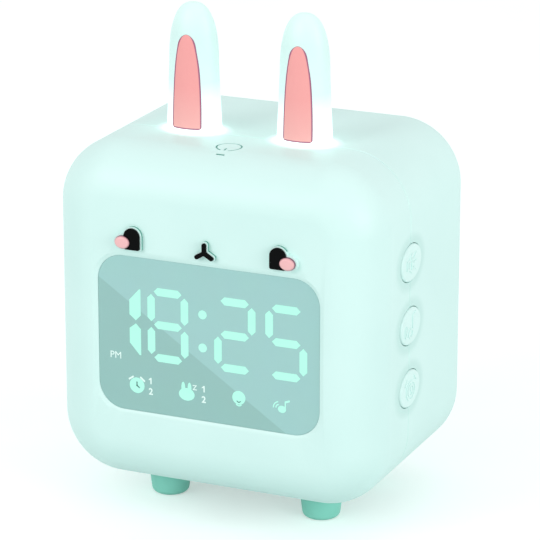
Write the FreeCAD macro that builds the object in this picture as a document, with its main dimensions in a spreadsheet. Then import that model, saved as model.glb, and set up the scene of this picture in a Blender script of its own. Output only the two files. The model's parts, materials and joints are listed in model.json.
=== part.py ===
import FreeCAD, Part
import math
import os
import re
from types import SimpleNamespace

import Sketcher
from FreeCAD import Placement, Rotation, Vector

# Kids alarm clock with night light: a rounded cube with two glowing rabbit ears, a raised
# face, a segment display, three sprung buttons on each side and four feet.
# Millimetres. X to the right, Y to the back, Z up. The origin is on the table, under the
# middle of the clock.

SIZES = {
    # body
    "body_width": 88.0,
    "body_height": 88.0,
    "body_depth": 65.5,
    "front_face": -31.6,
    "foot_height": 9.0,
    "corner_round": 16.5,
    "front_round": 12.5,
    "rear_round": 8.3,
    "wall": 2.4,
    "seam_depth": 24.3,
    "seam_edge": 0.4,
    "lip_length": 1.5,
    "lip_gap": 0.06,
    # display window
    "window_width": 59.8,
    "window_height": 40.2,
    "window_round": 6.8,
    "window_drop": 3.2,
    "window_thick": 1.6,
    "window_recess": 0.6,
    "window_bevel": 1.3,
    "window_gap": 0.1,
    "tape_thick": 0.2,
    "ledge_thick": 1.6,
    "ledge_width": 2.6,
    # digits
    "bar_thick": 2.05,
    "bar_across": 7.6,
    "bar_upright": 7.1,
    "digit_width": 9.1,
    "row_pitch": 8.6,
    "digit_row": 0.1,
    "icon_row": -16.6,
    "mask_depth": 6.6,
    "guide_depth": 2.6,
    "board_thick": 1.6,
    # face
    "eye_spread": 19.6,
    "eye_height": 22.05,
    "eye_width": 4.3,
    "eye_tall": 5.5,
    "boss_rim": 0.3,
    "boss_rise": 1.0,
    "ink_rise": 0.45,
    "nose_height": 20.9,
    "nose_arm": 0.56,
    "cheek_spread": 22.15,
    "cheek_height": 21.0,
    "cheek_wide": 2.05,
    "cheek_tall": 1.65,
    "cheek_rise": 1.9,
    "cheek_rim": 0.45,
    # ears
    "ear_spread": 15.0,
    "ear_back": -5.8,
    "ear_rise": 32.5,
    "ear_base": 7.2,
    "ear_waist": 6.5,
    "ear_flat": 0.74,
    "ear_dome": 16.0,
    "ear_wall": 1.5,
    "ear_flange": 1.6,
    "inlay_width": 7.9,
    "inlay_low": 1.1,
    "inlay_high": 25.0,
    "inlay_sink": 0.9,
    # buttons
    "button_pitch": 16.4,
    "button_lift": 0.4,
    "button_deep": 6.5,
    "button_tall": 4.7,
    "button_proud": 0.45,
    "symbol_rise": 0.2,
    "symbol_line": 0.5,
    "button_travel": 0.7,
    "button_gap": 0.2,
    "flange_extra": 1.1,
    "flange_thick": 1.2,
    "stem_radius": 2.0,
    "switch_size": 6.2,
    "switch_tall": 3.6,
    "plunger_radius": 1.7,
    "plunger_reach": 2.4,
    "switch_face": 37.5,
    # feet
    "foot_spread": 21.2,
    "foot_front": -8.75,
    "foot_rear": 17.0,
    "foot_top": 5.85,
    "foot_base": 4.7,
    "foot_edge": 1.5,
    "neck_radius": 3.4,
    # fasteners
    "column_spread": 31.0,
    "column_radius": 4.6,
    "post_radius": 3.2,
    "well_radius": 3.2,
    "well_floor": 3.0,
    "plug_depth": 3.0,
    "small_shank": 0.95,
    "small_head": 1.9,
    "small_length": 5.0,
    # power and sound
    "cell_radius": 9.2,
    "cell_length": 65.0,
    "cell_height": 38.2,
    "cell_back": 19.4,
    "speaker_height": 68.0,
    "speaker_plate": 36.0,
    "speaker_ring": 15.4,
    "grille_hole": 0.9,
    "grille_pitch": 3.6,
    "socket_height": 20.5,
    "socket_wide": 8.94,
    "socket_tall": 3.26,
    "lead_radius": 0.55,
}

doc = FreeCAD.newDocument("rabbit_alarm_clock")
sheet = doc.addObject("Spreadsheet::Sheet", "Sizes")
for row, (alias, number) in enumerate(SIZES.items(), start=1):
    sheet.set(f"A{row}", alias)
    sheet.set(f"B{row}", str(number))
    sheet.setAlias(f"B{row}", alias)
doc.recompute()
size = SimpleNamespace(**{alias: float(sheet.get(alias)) for alias in SIZES})

# Places that several pieces share, as formulas of the sheet and as numbers.
SEAM = "(front_face + seam_depth)"
REAR = "(front_face + body_depth)"
MIDDLE = "(foot_height + body_height / 2)"
TOP = "(foot_height + body_height)"
SIDE = "(body_width / 2)"
BUTTON_ROW = f"({MIDDLE} + button_lift)"
WINDOW_MIDDLE = f"({MIDDLE} - window_drop)"
LEDGE = "(front_face + window_recess + window_thick + tape_thick)"
BOARD = f"({LEDGE} + ledge_thick + mask_depth)"
seam = size.front_face + size.seam_depth
middle = size.foot_height + size.body_height / 2
top = size.foot_height + size.body_height
ledge = size.front_face + size.window_recess + size.window_thick + size.tape_thick
board_front = ledge + size.ledge_thick + size.mask_depth
window_middle = middle - size.window_drop
TURN = {
    "x": Rotation(Vector(0, 1, 0), 90),
    "y": Rotation(Vector(1, 0, 0), -90),
    "z": Rotation(),
}
nodes = []


def formula(text):
    """Point each size that a formula names at its cell in the sheet."""
    return re.sub(r"[a-z_]+", lambda m: f"Sizes.{m[0]}" if m[0] in SIZES else m[0], str(text))


def bind(obj, **formulas):
    for name, text in formulas.items():
        obj.setExpression(name.replace("__", "."), formula(text))
    return obj


def place(obj, x=0, y=0, z=0, turn=Rotation()):
    obj.Placement = Placement(Vector(), turn)
    return bind(obj, Placement__Base__x=x, Placement__Base__y=y, Placement__Base__z=z)


def node(obj, name):
    """Mark an object as a finished sub-part; its label names its file."""
    obj.Label = name
    nodes.append(obj)
    return obj


def box(name, across, deep, tall):
    """A box between two formulas on each axis."""
    piece = doc.addObject("Part::Box", name)
    bind(
        piece,
        Length=f"({across[1]}) - ({across[0]})",
        Width=f"({deep[1]}) - ({deep[0]})",
        Height=f"({tall[1]}) - ({tall[0]})",
    )
    return place(piece, across[0], deep[0], tall[0])


def rod(name, radius, length, at, along="z"):
    piece = doc.addObject("Part::Cylinder", name)
    bind(piece, Radius=radius, Height=length)
    return place(piece, *at, turn=TURN[along])


def oval(name, long_radius, short_radius, length, at, turn):
    """An elliptical prism that starts at a point and runs along the turned Z."""
    outline = doc.addObject("Part::Ellipse", name + "_outline")
    bind(outline, MajorRadius=long_radius, MinorRadius=short_radius)
    piece = doc.addObject("Part::Extrusion", name)
    piece.Base = outline
    piece.DirMode = "Normal"
    piece.Solid = True
    bind(piece, LengthFwd=length)
    return place(piece, *at, turn=turn)


def cut(name, base, *tools):
    piece = doc.addObject("Part::Cut", name)
    piece.Base = base
    piece.Tool = tools[0] if len(tools) == 1 else fuse(name + "_tools", *tools)
    return piece


def fuse(name, *parts):
    piece = doc.addObject("Part::MultiFuse", name)
    piece.Shapes = list(parts)
    piece.Refine = True
    return piece


def group(name, parts):
    """Separate solids that share one node."""
    piece = doc.addObject("Part::Compound", name)
    piece.Links = list(parts)
    return node(piece, name)


def shaped(name, shape, at=Vector()):
    """A sub-part or tool whose outline only Part's own functions can draw."""
    piece = doc.addObject("Part::Feature", name)
    piece.Shape = shape
    piece.Placement = Placement(at, Rotation()).multiply(shape.Placement)
    return piece


def origin_plane(body, role):
    return next(f for f in body.Origin.OriginFeatures if f.Role == role)


def rounded_sketch(body, name, offset, width, tall, radius, centre):
    """A rounded rectangle across the depth of the clock, at a formula's place along Y."""
    sketch = body.newObject("Sketcher::SketchObject", name)
    sketch.AttachmentSupport = [(origin_plane(body, "XZ_Plane"), "")]
    sketch.MapMode = "FlatFace"
    bind(sketch, AttachmentOffset__Base__z=f"-({offset})")
    w, t, r, low = 20.0, 20.0, 3.0, 5.0
    corners = [(w - r, low + r, -90), (w - r, t - r, 0), (r - w, t - r, 90), (r - w, low + r, 180)]
    line_ends = [
        ((r - w, low), (w - r, low)),
        ((w, low + r), (w, t - r)),
        ((w - r, t), (r - w, t)),
        ((-w, t - r), (-w, low + r)),
    ]
    for (x, z, start), (first, last) in zip(corners, line_ends):
        sketch.addGeometry(Part.LineSegment(Vector(*first, 0), Vector(*last, 0)), False)
        circle = Part.Circle(Vector(x, z, 0), Vector(0, 0, 1), r)
        arc = Part.ArcOfCircle(circle, math.radians(start), math.radians(start + 90))
        sketch.addGeometry(arc, False)
    for line in (0, 2, 4, 6):
        sketch.addConstraint(Sketcher.Constraint("Tangent", line, 2, line + 1, 1))
        sketch.addConstraint(Sketcher.Constraint("Tangent", line + 1, 2, (line + 2) % 8, 1))
        flat = "Horizontal" if line in (0, 4) else "Vertical"
        sketch.addConstraint(Sketcher.Constraint(flat, line))
    for arc in (3, 5, 7):
        sketch.addConstraint(Sketcher.Constraint("Equal", 1, arc))
    named = {
        "radius": (Sketcher.Constraint("Radius", 1, r), radius),
        "half": (Sketcher.Constraint("DistanceX", -1, 1, 2, 1, w), f"({width}) / 2"),
        "width": (Sketcher.Constraint("DistanceX", 6, 1, 2, 1, 2 * w), width),
        "low": (Sketcher.Constraint("DistanceY", -1, 1, 0, 1, low), f"({centre}) - ({tall}) / 2"),
        "tall": (Sketcher.Constraint("DistanceY", 0, 1, 4, 1, t - low), tall),
    }
    for label, (constraint, text) in named.items():
        index = sketch.addConstraint(constraint)
        sketch.renameConstraint(index, label)
        sketch.setExpression(f"Constraints.{label}", formula(text))
    return sketch


def feature(body, kind, name, sketch=None, **formulas):
    piece = body.newObject("PartDesign::" + kind, name)
    if sketch is not None:
        piece.Profile = sketch
        sketch.Visibility = False
    bind(piece, **formulas)
    return piece


def edges_at(shape, along_y, tolerance=0.01):
    """The names of the edges that lie whole in one plane across the depth."""
    names = []
    for number, edge in enumerate(shape.Edges, start=1):
        limits = edge.BoundBox
        if abs(limits.YMin - along_y) < tolerance and abs(limits.YMax - along_y) < tolerance:
            names.append(f"Edge{number}")
    return names


def round_edges(body, name, base, edge_names, radius):
    piece = body.newObject("PartDesign::Fillet", name)
    piece.Base = (base, edge_names)
    return bind(piece, Radius=radius)


# Housing shells


def rounded_block(name, inset, depth, face, edge_round, pad_back):
    """The outline of the housing run from the seam to one face, that face's edge rounded."""
    body = doc.addObject("PartDesign::Body", name)
    outline = rounded_sketch(
        body,
        name + "_outline",
        SEAM,
        f"body_width - 2 * ({inset})",
        f"body_height - 2 * ({inset})",
        f"corner_round - ({inset})",
        MIDDLE,
    )
    pad = feature(body, "Pad", name + "_pad", outline, Length=f"({depth}) - ({inset})")
    pad.Reversed = pad_back
    doc.recompute()
    rounded = round_edges(
        body, name + "_round", pad, edges_at(pad.Shape, face), f"({edge_round}) - ({inset})"
    )
    body.Tip = rounded
    return body


def shell_blank(name, depth, face, edge_round, pad_back):
    """Half of the housing as a tray: rounded outside, hollow inside, open at the seam."""
    outer = rounded_block(name + "_outer", "0", depth, face, edge_round, pad_back)
    doc.recompute()
    rim = round_edges(
        outer, name + "_rim", outer.Tip, edges_at(outer.Tip.Shape, seam), "seam_edge"
    )
    outer.Tip = rim
    inner_face = face + (size.wall if face < seam else -size.wall)
    inner = rounded_block(name + "_inner", "wall", depth, inner_face, edge_round, pad_back)
    return cut(name + "_tray", outer, inner)


def seam_ring(name, start, length, outer_inset, inner_inset):
    """A ring that follows the outline of the housing, between two insets from its outside."""
    body = doc.addObject("PartDesign::Body", name)
    tools = []
    for part, inset in (("outer", outer_inset), ("inner", inner_inset)):
        tools.append(
            rounded_sketch(
                body,
                f"{name}_{part}",
                start,
                f"body_width - 2 * ({inset})",
                f"body_height - 2 * ({inset})",
                f"corner_round - ({inset})",
                MIDDLE,
            )
        )
    pad = feature(body, "Pad", name + "_pad", tools[0], Length=length)
    pad.Reversed = True
    pocket = feature(body, "Pocket", name + "_pocket", tools[1], Length=length)
    pocket.Reversed = False
    body.Tip = pocket
    return body


def window_plate(name, start, length, extra, radius_extra):
    """A rounded plate behind or through the display window, larger than it by an extra."""
    body = doc.addObject("PartDesign::Body", name)
    outline = rounded_sketch(
        body,
        name + "_outline",
        start,
        f"window_width + 2 * ({extra})",
        f"window_height + 2 * ({extra})",
        f"window_round + ({radius_extra})",
        WINDOW_MIDDLE,
    )
    pad = feature(body, "Pad", name + "_pad", outline, Length=length)
    pad.Reversed = True
    body.Tip = pad
    return body


def button_places():
    """The side, height and name of each button, top to bottom."""
    names = {
        1: ("volume", "melody", "alarm"),
        -1: ("clock_set", "plus", "minus"),
    }
    for side, row in names.items():
        for step, name in zip((1, 0, -1), row):
            yield side, step, f"{BUTTON_ROW} + ({step}) * button_pitch", name


def side_turn(side):
    """Turns a prism so that it runs outwards through a side wall, its long axis along Y."""
    return Rotation(Vector(0, side, 0), Vector(0, 0, 1), Vector(side, 0, 0), "ZYX")


def mirror_x(spread):
    return ((-1, "left", f"-({spread})"), (1, "right", spread))


def wall_holes():
    """The openings that both shells share: buttons, ears and front feet sit on the seam."""
    holes = []
    for side, _, height, name in button_places():
        start = f"{side} * ({SIDE} - wall - 1)"
        holes.append(
            oval(
                name + "_opening",
                "button_deep + button_gap",
                "button_tall + button_gap",
                "wall + 3",
                (start, SEAM, height),
                side_turn(side),
            )
        )
    for _, word, across in mirror_x("ear_spread"):
        holes.append(
            oval(
                f"ear_opening_{word}",
                "ear_base + lip_gap",
                "ear_base * ear_flat + lip_gap",
                "wall + 2",
                (across, "ear_back", f"{TOP} - wall - 1"),
                Rotation(),
            )
        )
    for name, across, deep in foot_places():
        radius = "neck_radius + lip_gap"
        holes.append(rod(f"{name}_opening", radius, "wall + 2", (across, deep, "foot_height - 1")))
    return holes


def foot_places():
    for row in ("front", "rear"):
        for _, word, across in mirror_x("foot_spread"):
            yield f"foot_{row}_{word}", across, f"foot_{row}"


def column_places():
    for _, word, across in mirror_x("column_spread"):
        for level, sign in (("upper", 1), ("lower", -1)):
            yield f"{level}_{word}", across, f"{MIDDLE} + ({sign}) * column_spread"


BOARD_HALF = 33.0
BOARD_RISE = 26.0
BOARD_POSTS = [(x, z) for x in (-BOARD_HALF, BOARD_HALF) for z in (-BOARD_RISE + 6, BOARD_RISE)]
CLAMP_POSTS = [(-26.5, -11.5), (0.0, -10.0), (26.5, -11.5)]
SWITCH_POSTS = [(side, step) for side in (-1, 1) for step in (-0.5, 0.5)]
SWITCH_POST_BACK = -12.5
HOLDER_TABS = [-37.6, 37.6]
SPEAKER_POSTS = [(x, z) for x in (-15.4, 15.4) for z in (-15.4, 15.4)]
pilot = "small_shank + 0.02"


def front_shell():
    blank = shell_blank("front_shell", "seam_depth", size.front_face, "front_round", False)
    lip = seam_ring("seam_lip", f"{SEAM} - 2", "lip_length + 2", "wall / 2 + lip_gap", "wall")
    plate = window_plate(
        "window_ledge", LEDGE, "ledge_thick", "ledge_width + 0.5", "ledge_width"
    )
    solids = [blank, lip, plate]
    for name, across, height in column_places():
        start = "(front_face + wall - 0.4)"
        at = (across, start, height)
        solids.append(rod("post_" + name, "post_radius", f"{SEAM} + 1.8 - {start}", at, "y"))
    for number, (x, z) in enumerate(BOARD_POSTS):
        at = (x, "front_face + wall - 0.6", f"{WINDOW_MIDDLE} + ({z})")
        length = f"{BOARD} - front_face - wall + 0.6"
        solids.append(rod(f"board_post_{number}", 2.4, length, at, "y"))
    for number, (x, y) in enumerate(CLAMP_POSTS):
        at = (x, y, f"{TOP} - wall - ear_flange")
        solids.append(rod(f"clamp_post_{number}", 2.2, "ear_flange + 1", at))
    for number, (side, step) in enumerate(SWITCH_POSTS):
        start = f"{side} * (switch_face - switch_tall)"
        at = (start, SWITCH_POST_BACK, f"{BUTTON_ROW} + ({step}) * button_pitch")
        post = rod(f"switch_post_{number}", 1.9, f"{SIDE} - wall - switch_face + switch_tall + 1", at)
        post.Placement = Placement(Vector(), Rotation(Vector(0, side, 0), 90))
        place(post, *at, turn=Rotation(Vector(0, side, 0), 90))
        solids.append(post)
    for side, word, _ in mirror_x("eye_spread"):
        solids.append(eye_shape(f"eye_boss_{word}", side, "boss"))
        rim = cheek_solid(side, size.cheek_rim, size.boss_rise, 0.5)
        solids.append(shaped(f"cheek_boss_{word}", rim))
    solids.append(nose_shape("nose_boss", size.boss_rim, 0.0, size.boss_rise))
    tools = wall_holes()
    pocket = window_plate(
        "window_pocket", "front_face - 1", f"{LEDGE} - front_face + 1", "window_gap", "window_gap"
    )
    aperture = window_plate("window_aperture", "front_face", "9", "-ledge_width", "-ledge_width")
    tools += [pocket, aperture, window_bevel_tool()]
    for name, across, height in column_places():
        at = (across, f"{SEAM} + 1.8 - 14", height)
        tools.append(rod("post_hole_" + name, 1.27, "15", at, "y"))
    for number, (x, z) in enumerate(BOARD_POSTS):
        at = (x, f"{BOARD} - small_length", f"{WINDOW_MIDDLE} + ({z})")
        tools.append(rod(f"board_pilot_{number}", pilot, "small_length + 1", at, "y"))
    for number, (x, y) in enumerate(CLAMP_POSTS):
        at = (x, y, f"{TOP} - wall - ear_flange - 1")
        tools.append(rod(f"clamp_pilot_{number}", pilot, "ear_flange + 2.2", at))
    for number, (side, step) in enumerate(SWITCH_POSTS):
        at = (
            f"{side} * (switch_face - switch_tall - 1)",
            SWITCH_POST_BACK,
            f"{BUTTON_ROW} + ({step}) * button_pitch",
        )
        hole = rod(f"switch_pilot_{number}", pilot, "small_length + 1", at)
        tools.append(place(hole, *at, turn=Rotation(Vector(0, side, 0), 90)))
    for _, word, across in mirror_x("cheek_spread"):
        tools.append(cheek_tool(f"cheek_pocket_{word}", across))
    tools += bulb_groove()
    whole = fuse("front_shell_solid", *solids)
    return node(cut("front_shell", whole, *tools), "front_shell")


def window_bevel_tool():
    """The soft slope round the window, as a shallow lofted hollow."""
    wires = []
    for depth, grow in ((-0.3, 1.5), (1.0, 0.0)):
        y = size.front_face + depth * size.window_recess
        spread = size.window_gap + size.window_bevel * grow * 0.7
        wires.append(
            rounded_wire(
                size.window_width / 2 + spread,
                size.window_height / 2 + spread,
                size.window_round + spread,
                y,
                window_middle,
            )
        )
    return shaped("window_bevel", Part.makeLoft(wires, True, True))


def rounded_wire(half_width, half_height, radius, y, centre):
    """A rounded rectangle as a wire across the depth of the clock."""
    corner = Vector(-half_width, y, centre - half_height)
    solid = Part.makeBox(2 * half_width, 1, 2 * half_height, corner)
    along = [e for e in solid.Edges if e.BoundBox.YLength > 0.9]
    solid = solid.makeFillet(radius, along)
    flat = [f for f in solid.Faces if f.BoundBox.YLength < 0.01 and f.CenterOfMass.y < y + 0.1]
    return flat[0].OuterWire


def eye_shape(name, side, part):
    """An arch-topped eye: the boss on the shell, or the black inlay on top of it."""
    rim = size.boss_rim if part == "boss" else 0.0
    half = size.eye_width / 2 + rim
    low = middle + size.eye_height - size.eye_tall / 2 - rim
    spring = middle + size.eye_height + size.eye_tall / 2 - size.eye_width / 2
    rise = size.boss_rise if part == "boss" else size.ink_rise
    y = size.front_face + 0.2 if part == "boss" else size.front_face - size.boss_rise
    x = side * size.eye_spread
    points = [Vector(x - half, y, spring), Vector(x - half, y, low)]
    points += [Vector(x + half, y, low), Vector(x + half, y, spring)]
    edges = [Part.LineSegment(a, b).toShape() for a, b in zip(points, points[1:])]
    crown = Vector(x, y, spring + half)
    edges.append(Part.Arc(points[-1], crown, points[0]).toShape())
    outline = Part.Face(Part.Wire(edges))
    depth = rise + (0.2 if part == "boss" else 0)
    solid = outline.extrude(Vector(0, -depth, 0))
    upright = [e for e in solid.Edges if e.BoundBox.YLength > depth * 0.9]
    lower = [e for e in upright if e.CenterOfMass.z < low + 0.01]
    solid = solid.makeFillet(0.5, lower)
    cheek = cheek_solid(side, 0.06, 4.0, 1.0)
    return shaped(name, solid.cut(cheek))


def nose_shape(name, rim, lift, rise):
    """Three round-ended arms that meet under the eyes."""
    centre = Vector(0, size.front_face - lift, middle + size.nose_height)
    ends = (Vector(0, 0, 2.0), Vector(-1.95, 0, -1.15), Vector(1.95, 0, -1.15))
    radius = size.nose_arm + rim
    whole = Part.makeCylinder(radius * 1.15, rise + 0.2, centre + Vector(0, 0.2, 0), Vector(0, -1, 0))
    for end in ends:
        along = Vector(end).normalize()
        side = along.cross(Vector(0, 1, 0)) * radius
        start = centre + Vector(0, 0.2, 0)
        corners = [start + side, start - side, start + end - side, start + end + side]
        plate = Part.Face(Part.makePolygon(corners + corners[:1])).extrude(Vector(0, -rise - 0.2, 0))
        tip = Part.makeCylinder(radius, rise + 0.2, start + end, Vector(0, -1, 0))
        whole = whole.fuse(plate).fuse(tip)
    if lift:
        keep = Part.makeBox(10, rise + 1, 10, Vector(-5, centre.y - rise - 1, centre.z - 5))
        whole = whole.common(keep)
    return shaped(name, whole.removeSplitter())


def cheek_solid(side, gap, forward, back):
    """An oval peg through the front wall, as the cheek or as the hole that takes it."""
    ellipse = Part.Ellipse(Vector(), size.cheek_wide + gap, size.cheek_tall + gap)
    face = Part.Face(Part.Wire(ellipse.toShape()))
    solid = face.extrude(Vector(0, 0, forward + back))
    solid.rotate(Vector(), Vector(1, 0, 0), 90)
    at = Vector(side * size.cheek_spread, size.front_face + back, middle + size.cheek_height)
    solid.translate(at)
    return solid


def cheek_tool(name, across):
    side = 1 if across == "cheek_spread" else -1
    return shaped(name, cheek_solid(side, 0.04, 4.0, 1.2))


def bulb_groove():
    """The touch mark on top: a ring, a tick inside it and a short bar in front of it."""
    y = size.front_face + 13.75
    depth = 0.3
    ring = Part.makeCylinder(3.35, 2, Vector(0, y, top - depth))
    ring = ring.cut(Part.makeCylinder(2.9, 2, Vector(0, y, top - depth)))
    gap = Part.makeBox(2.0, 4, 3, Vector(-1.0, y - 5, top - 1))
    bar = Part.makeBox(2.2, 0.55, 2, Vector(-1.1, y - 5.3, top - 1.15))
    bar.rotate(Vector(0, y - 5.3, top - 1.15), Vector(1, 0, 0), 20)
    tick = Part.makeBox(0.45, 1.6, 2, Vector(-0.22, y - 3.0, top - depth))
    return [shaped("touch_ring", ring.cut(gap)), shaped("touch_bar", bar), shaped("touch_tick", tick)]


def rear_shell():
    depth = "(body_depth - seam_depth)"
    rear = size.front_face + size.body_depth
    blank = shell_blank("rear_shell", depth, rear, "rear_round", True)
    solids = [blank]
    for name, across, height in column_places():
        start = f"{SEAM} + 1.9"
        at = (across, start, height)
        solids.append(rod("column_" + name, "column_radius", f"{REAR} - 1 - ({start})", at, "y"))
    for number, x in enumerate(HOLDER_TABS):
        at = (x, "cell_back + 9", "cell_height")
        solids.append(rod(f"holder_post_{number}", 2.6, f"{REAR} - 1 - cell_back - 9", at, "y"))
    for number, (x, z) in enumerate(SPEAKER_POSTS):
        at = (x, f"{REAR} - wall - 3", f"speaker_height + ({z})")
        solids.append(rod(f"speaker_post_{number}", 2.2, "4", at, "y"))
    for number, x in enumerate((-6.5, 6.5)):
        at = (x, 19.0, "foot_height + wall - 0.5")
        length = "socket_height - socket_tall / 2 - 1.2 - foot_height - wall + 0.5"
        solids.append(rod(f"socket_post_{number}", 2.2, length, at))
    tools = [seam_ring("seam_rebate", f"{SEAM} - 1", "lip_length + 1.1", "wall / 2", "wall + 1")]
    tools += wall_holes()
    for name, across, height in column_places():
        shank_start = f"{SEAM} + 1"
        tools.append(rod("shank_hole_" + name, 1.6, "12", (across, shank_start, height), "y"))
        length = f"{REAR} - well_floor + 1"
        tools.append(rod("well_" + name, "well_radius", length, (across, "well_floor", height), "y"))
    for number, x in enumerate(HOLDER_TABS):
        at = (x, "cell_back + 8", "cell_height")
        tools.append(rod(f"holder_pilot_{number}", pilot, "small_length - 1", at, "y"))
    for number, (x, z) in enumerate(SPEAKER_POSTS):
        at = (x, f"{REAR} - wall - 4", f"speaker_height + ({z})")
        tools.append(rod(f"speaker_pilot_{number}", pilot, "small_length", at, "y"))
    for number, x in enumerate((-6.5, 6.5)):
        at = (x, 19.0, "socket_height - socket_tall / 2 - 1.2 - 4.5")
        tools.append(rod(f"socket_pilot_{number}", pilot, "6", at))
    tools.append(grille_holes())
    mouth = stadium(size.socket_wide + 0.3, size.socket_tall + 0.3, size.wall + 2)
    tools.append(shaped("socket_mouth", mouth, Vector(0, rear - size.wall - 1, size.socket_height)))
    whole = fuse("rear_shell_solid", *solids)
    return node(cut("rear_shell", whole, *tools), "rear_shell")


def stadium(wide, tall, depth):
    """A flat-sided oval prism along Y, centred on its start."""
    solid = Part.makeBox(wide, depth, tall, Vector(-wide / 2, 0, -tall / 2))
    along = [e for e in solid.Edges if e.BoundBox.YLength > depth * 0.9]
    return solid.makeFillet(tall / 2 - 0.01, along)


def grille_holes():
    """Rings of round sound holes in front of the speaker."""
    rear = size.front_face + size.body_depth
    start = rear - size.wall - 1
    holes = []
    for ring in range(4):
        for step in range(max(1, 6 * ring)):
            angle = 2 * math.pi * step / max(1, 6 * ring)
            x = ring * size.grille_pitch * math.cos(angle)
            z = size.speaker_height + ring * size.grille_pitch * math.sin(angle)
            holes.append(
                Part.makeCylinder(size.grille_hole, size.wall + 2, Vector(x, start, z), Vector(0, 1, 0))
            )
    return shaped("grille_holes", Part.makeCompound(holes))


# Display


def hexagon_bar(x, z, length, thick, upright, start, depth):
    """One bar of a digit: a strip with pointed ends, run back from a place along Y."""
    half, side = length / 2, thick / 2
    flat = [(-half, 0), (side - half, side), (half - side, side)]
    flat += [(half, 0), (half - side, -side), (side - half, -side)]
    points = [(v, u) if upright else (u, v) for u, v in flat]
    corners = [Vector(x + u, start, z + v) for u, v in points]
    return Part.Face(Part.makePolygon(corners + corners[:1])).extrude(Vector(0, depth, 0))


def slanted_bar(x, z, start, depth, upper):
    """Half of the first digit: a wide bar whose outer end is cut on the slant."""
    half, tall, tip = 1.55, 8.2, 1.4
    sign = 1 if upper else -1
    flat = [(-half, tip), (-half, tall - 3.0), (half - 0.4, tall), (half, tall), (half, tip), (0.2, 0)]
    corners = [Vector(x + u, start, z + sign * v) for u, v in flat]
    return Part.Face(Part.makePolygon(corners + corners[:1])).extrude(Vector(0, depth, 0))


def digit_bars(start, depth, swell):
    """Every bar of the clock display and its colon, each grown by a little."""
    row = middle + size.digit_row
    thick = size.bar_thick + swell
    bars = [slanted_bar(-19.8, row - 0.4, start, depth, False)]
    bars.append(slanted_bar(-19.8, row + 0.4, start, depth, True))
    for centre in (-10.8, 7.35, 21.1):
        for level in (-1, 0, 1):
            z = row + level * size.row_pitch
            bars.append(hexagon_bar(centre, z, size.bar_across + swell, thick, False, start, depth))
        for side in (-1, 1):
            for level in (-0.5, 0.5):
                x = centre + side * size.digit_width / 2
                z = row + level * size.row_pitch
                bars.append(hexagon_bar(x, z, size.bar_upright + swell, thick, True, start, depth))
    for level in (-0.5, 0.5):
        at = Vector(-1.35, start, row + level * size.row_pitch)
        bars.append(Part.makeCylinder(1.05 + swell / 2, depth, at, Vector(0, 1, 0)))
    return bars


ICON_PLACES = {"alarm": -19.6, "nap": -6.1, "lamp": 8.1, "sound": 19.9}


def icon_windows(start, depth, swell):
    """The plain light windows of the symbol row, and the small one for afternoon."""
    row = middle + size.icon_row
    windows = []
    for x in ICON_PLACES.values():
        at = Vector(x, start, row)
        windows.append(Part.makeCylinder(2.4 + swell / 2, depth, at, Vector(0, 1, 0)))
    half = 1.6 + swell / 2
    corner = Vector(-25.6 - half, start, middle - 9.7 - half / 2)
    windows.append(Part.makeBox(2 * half, depth, half, corner))
    return windows


def display():
    lens = window_plate(
        "window_lens", "front_face + window_recess", "window_thick", "0", "0"
    )
    doc.recompute()
    front = size.front_face + size.window_recess
    lens_round = round_edges(
        lens, "window_lens_round", lens.Tip, edges_at(lens.Tip.Shape, front), "window_bevel / 4"
    )
    lens.Tip = lens_round
    node(lens, "display_window")
    start = "front_face + window_recess + window_thick"
    ring = window_plate("tape_ring", start, "tape_thick", "0", "0")
    hole = window_plate("tape_hole", f"{start} - 1", "3", "-ledge_width", "-ledge_width")
    node(cut("window_tape", ring, hole), "window_tape")
    neck = window_plate(
        "mask_neck", f"{LEDGE} + 0.1", "ledge_thick + 0.1", "-ledge_width - 0.2", "-ledge_width"
    )
    block = box(
        "mask_block",
        ("-window_width / 2 + 0.4", "window_width / 2 - 0.4"),
        (f"{LEDGE} + ledge_thick + 0.1", f"{BOARD} - 0.05"),
        (f"{WINDOW_MIDDLE} - window_height / 2", f"{WINDOW_MIDDLE} + window_height / 2"),
    )
    hollow = digit_bars(ledge - 1, 12, 0.1) + icon_windows(ledge - 1, 12, 0.1)
    holes = shaped("mask_holes", Part.makeCompound(hollow))
    node(cut("segment_mask", fuse("mask_solid", neck, block), holes), "segment_mask")
    bars = digit_bars(ledge + 0.1, size.guide_depth, 0)
    node(shaped("time_digits", Part.makeCompound(bars)), "time_digits")
    icons = icon_windows(ledge + 0.1, size.guide_depth, 0)
    node(shaped("status_icons", Part.makeCompound(icons)), "status_icons")


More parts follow.
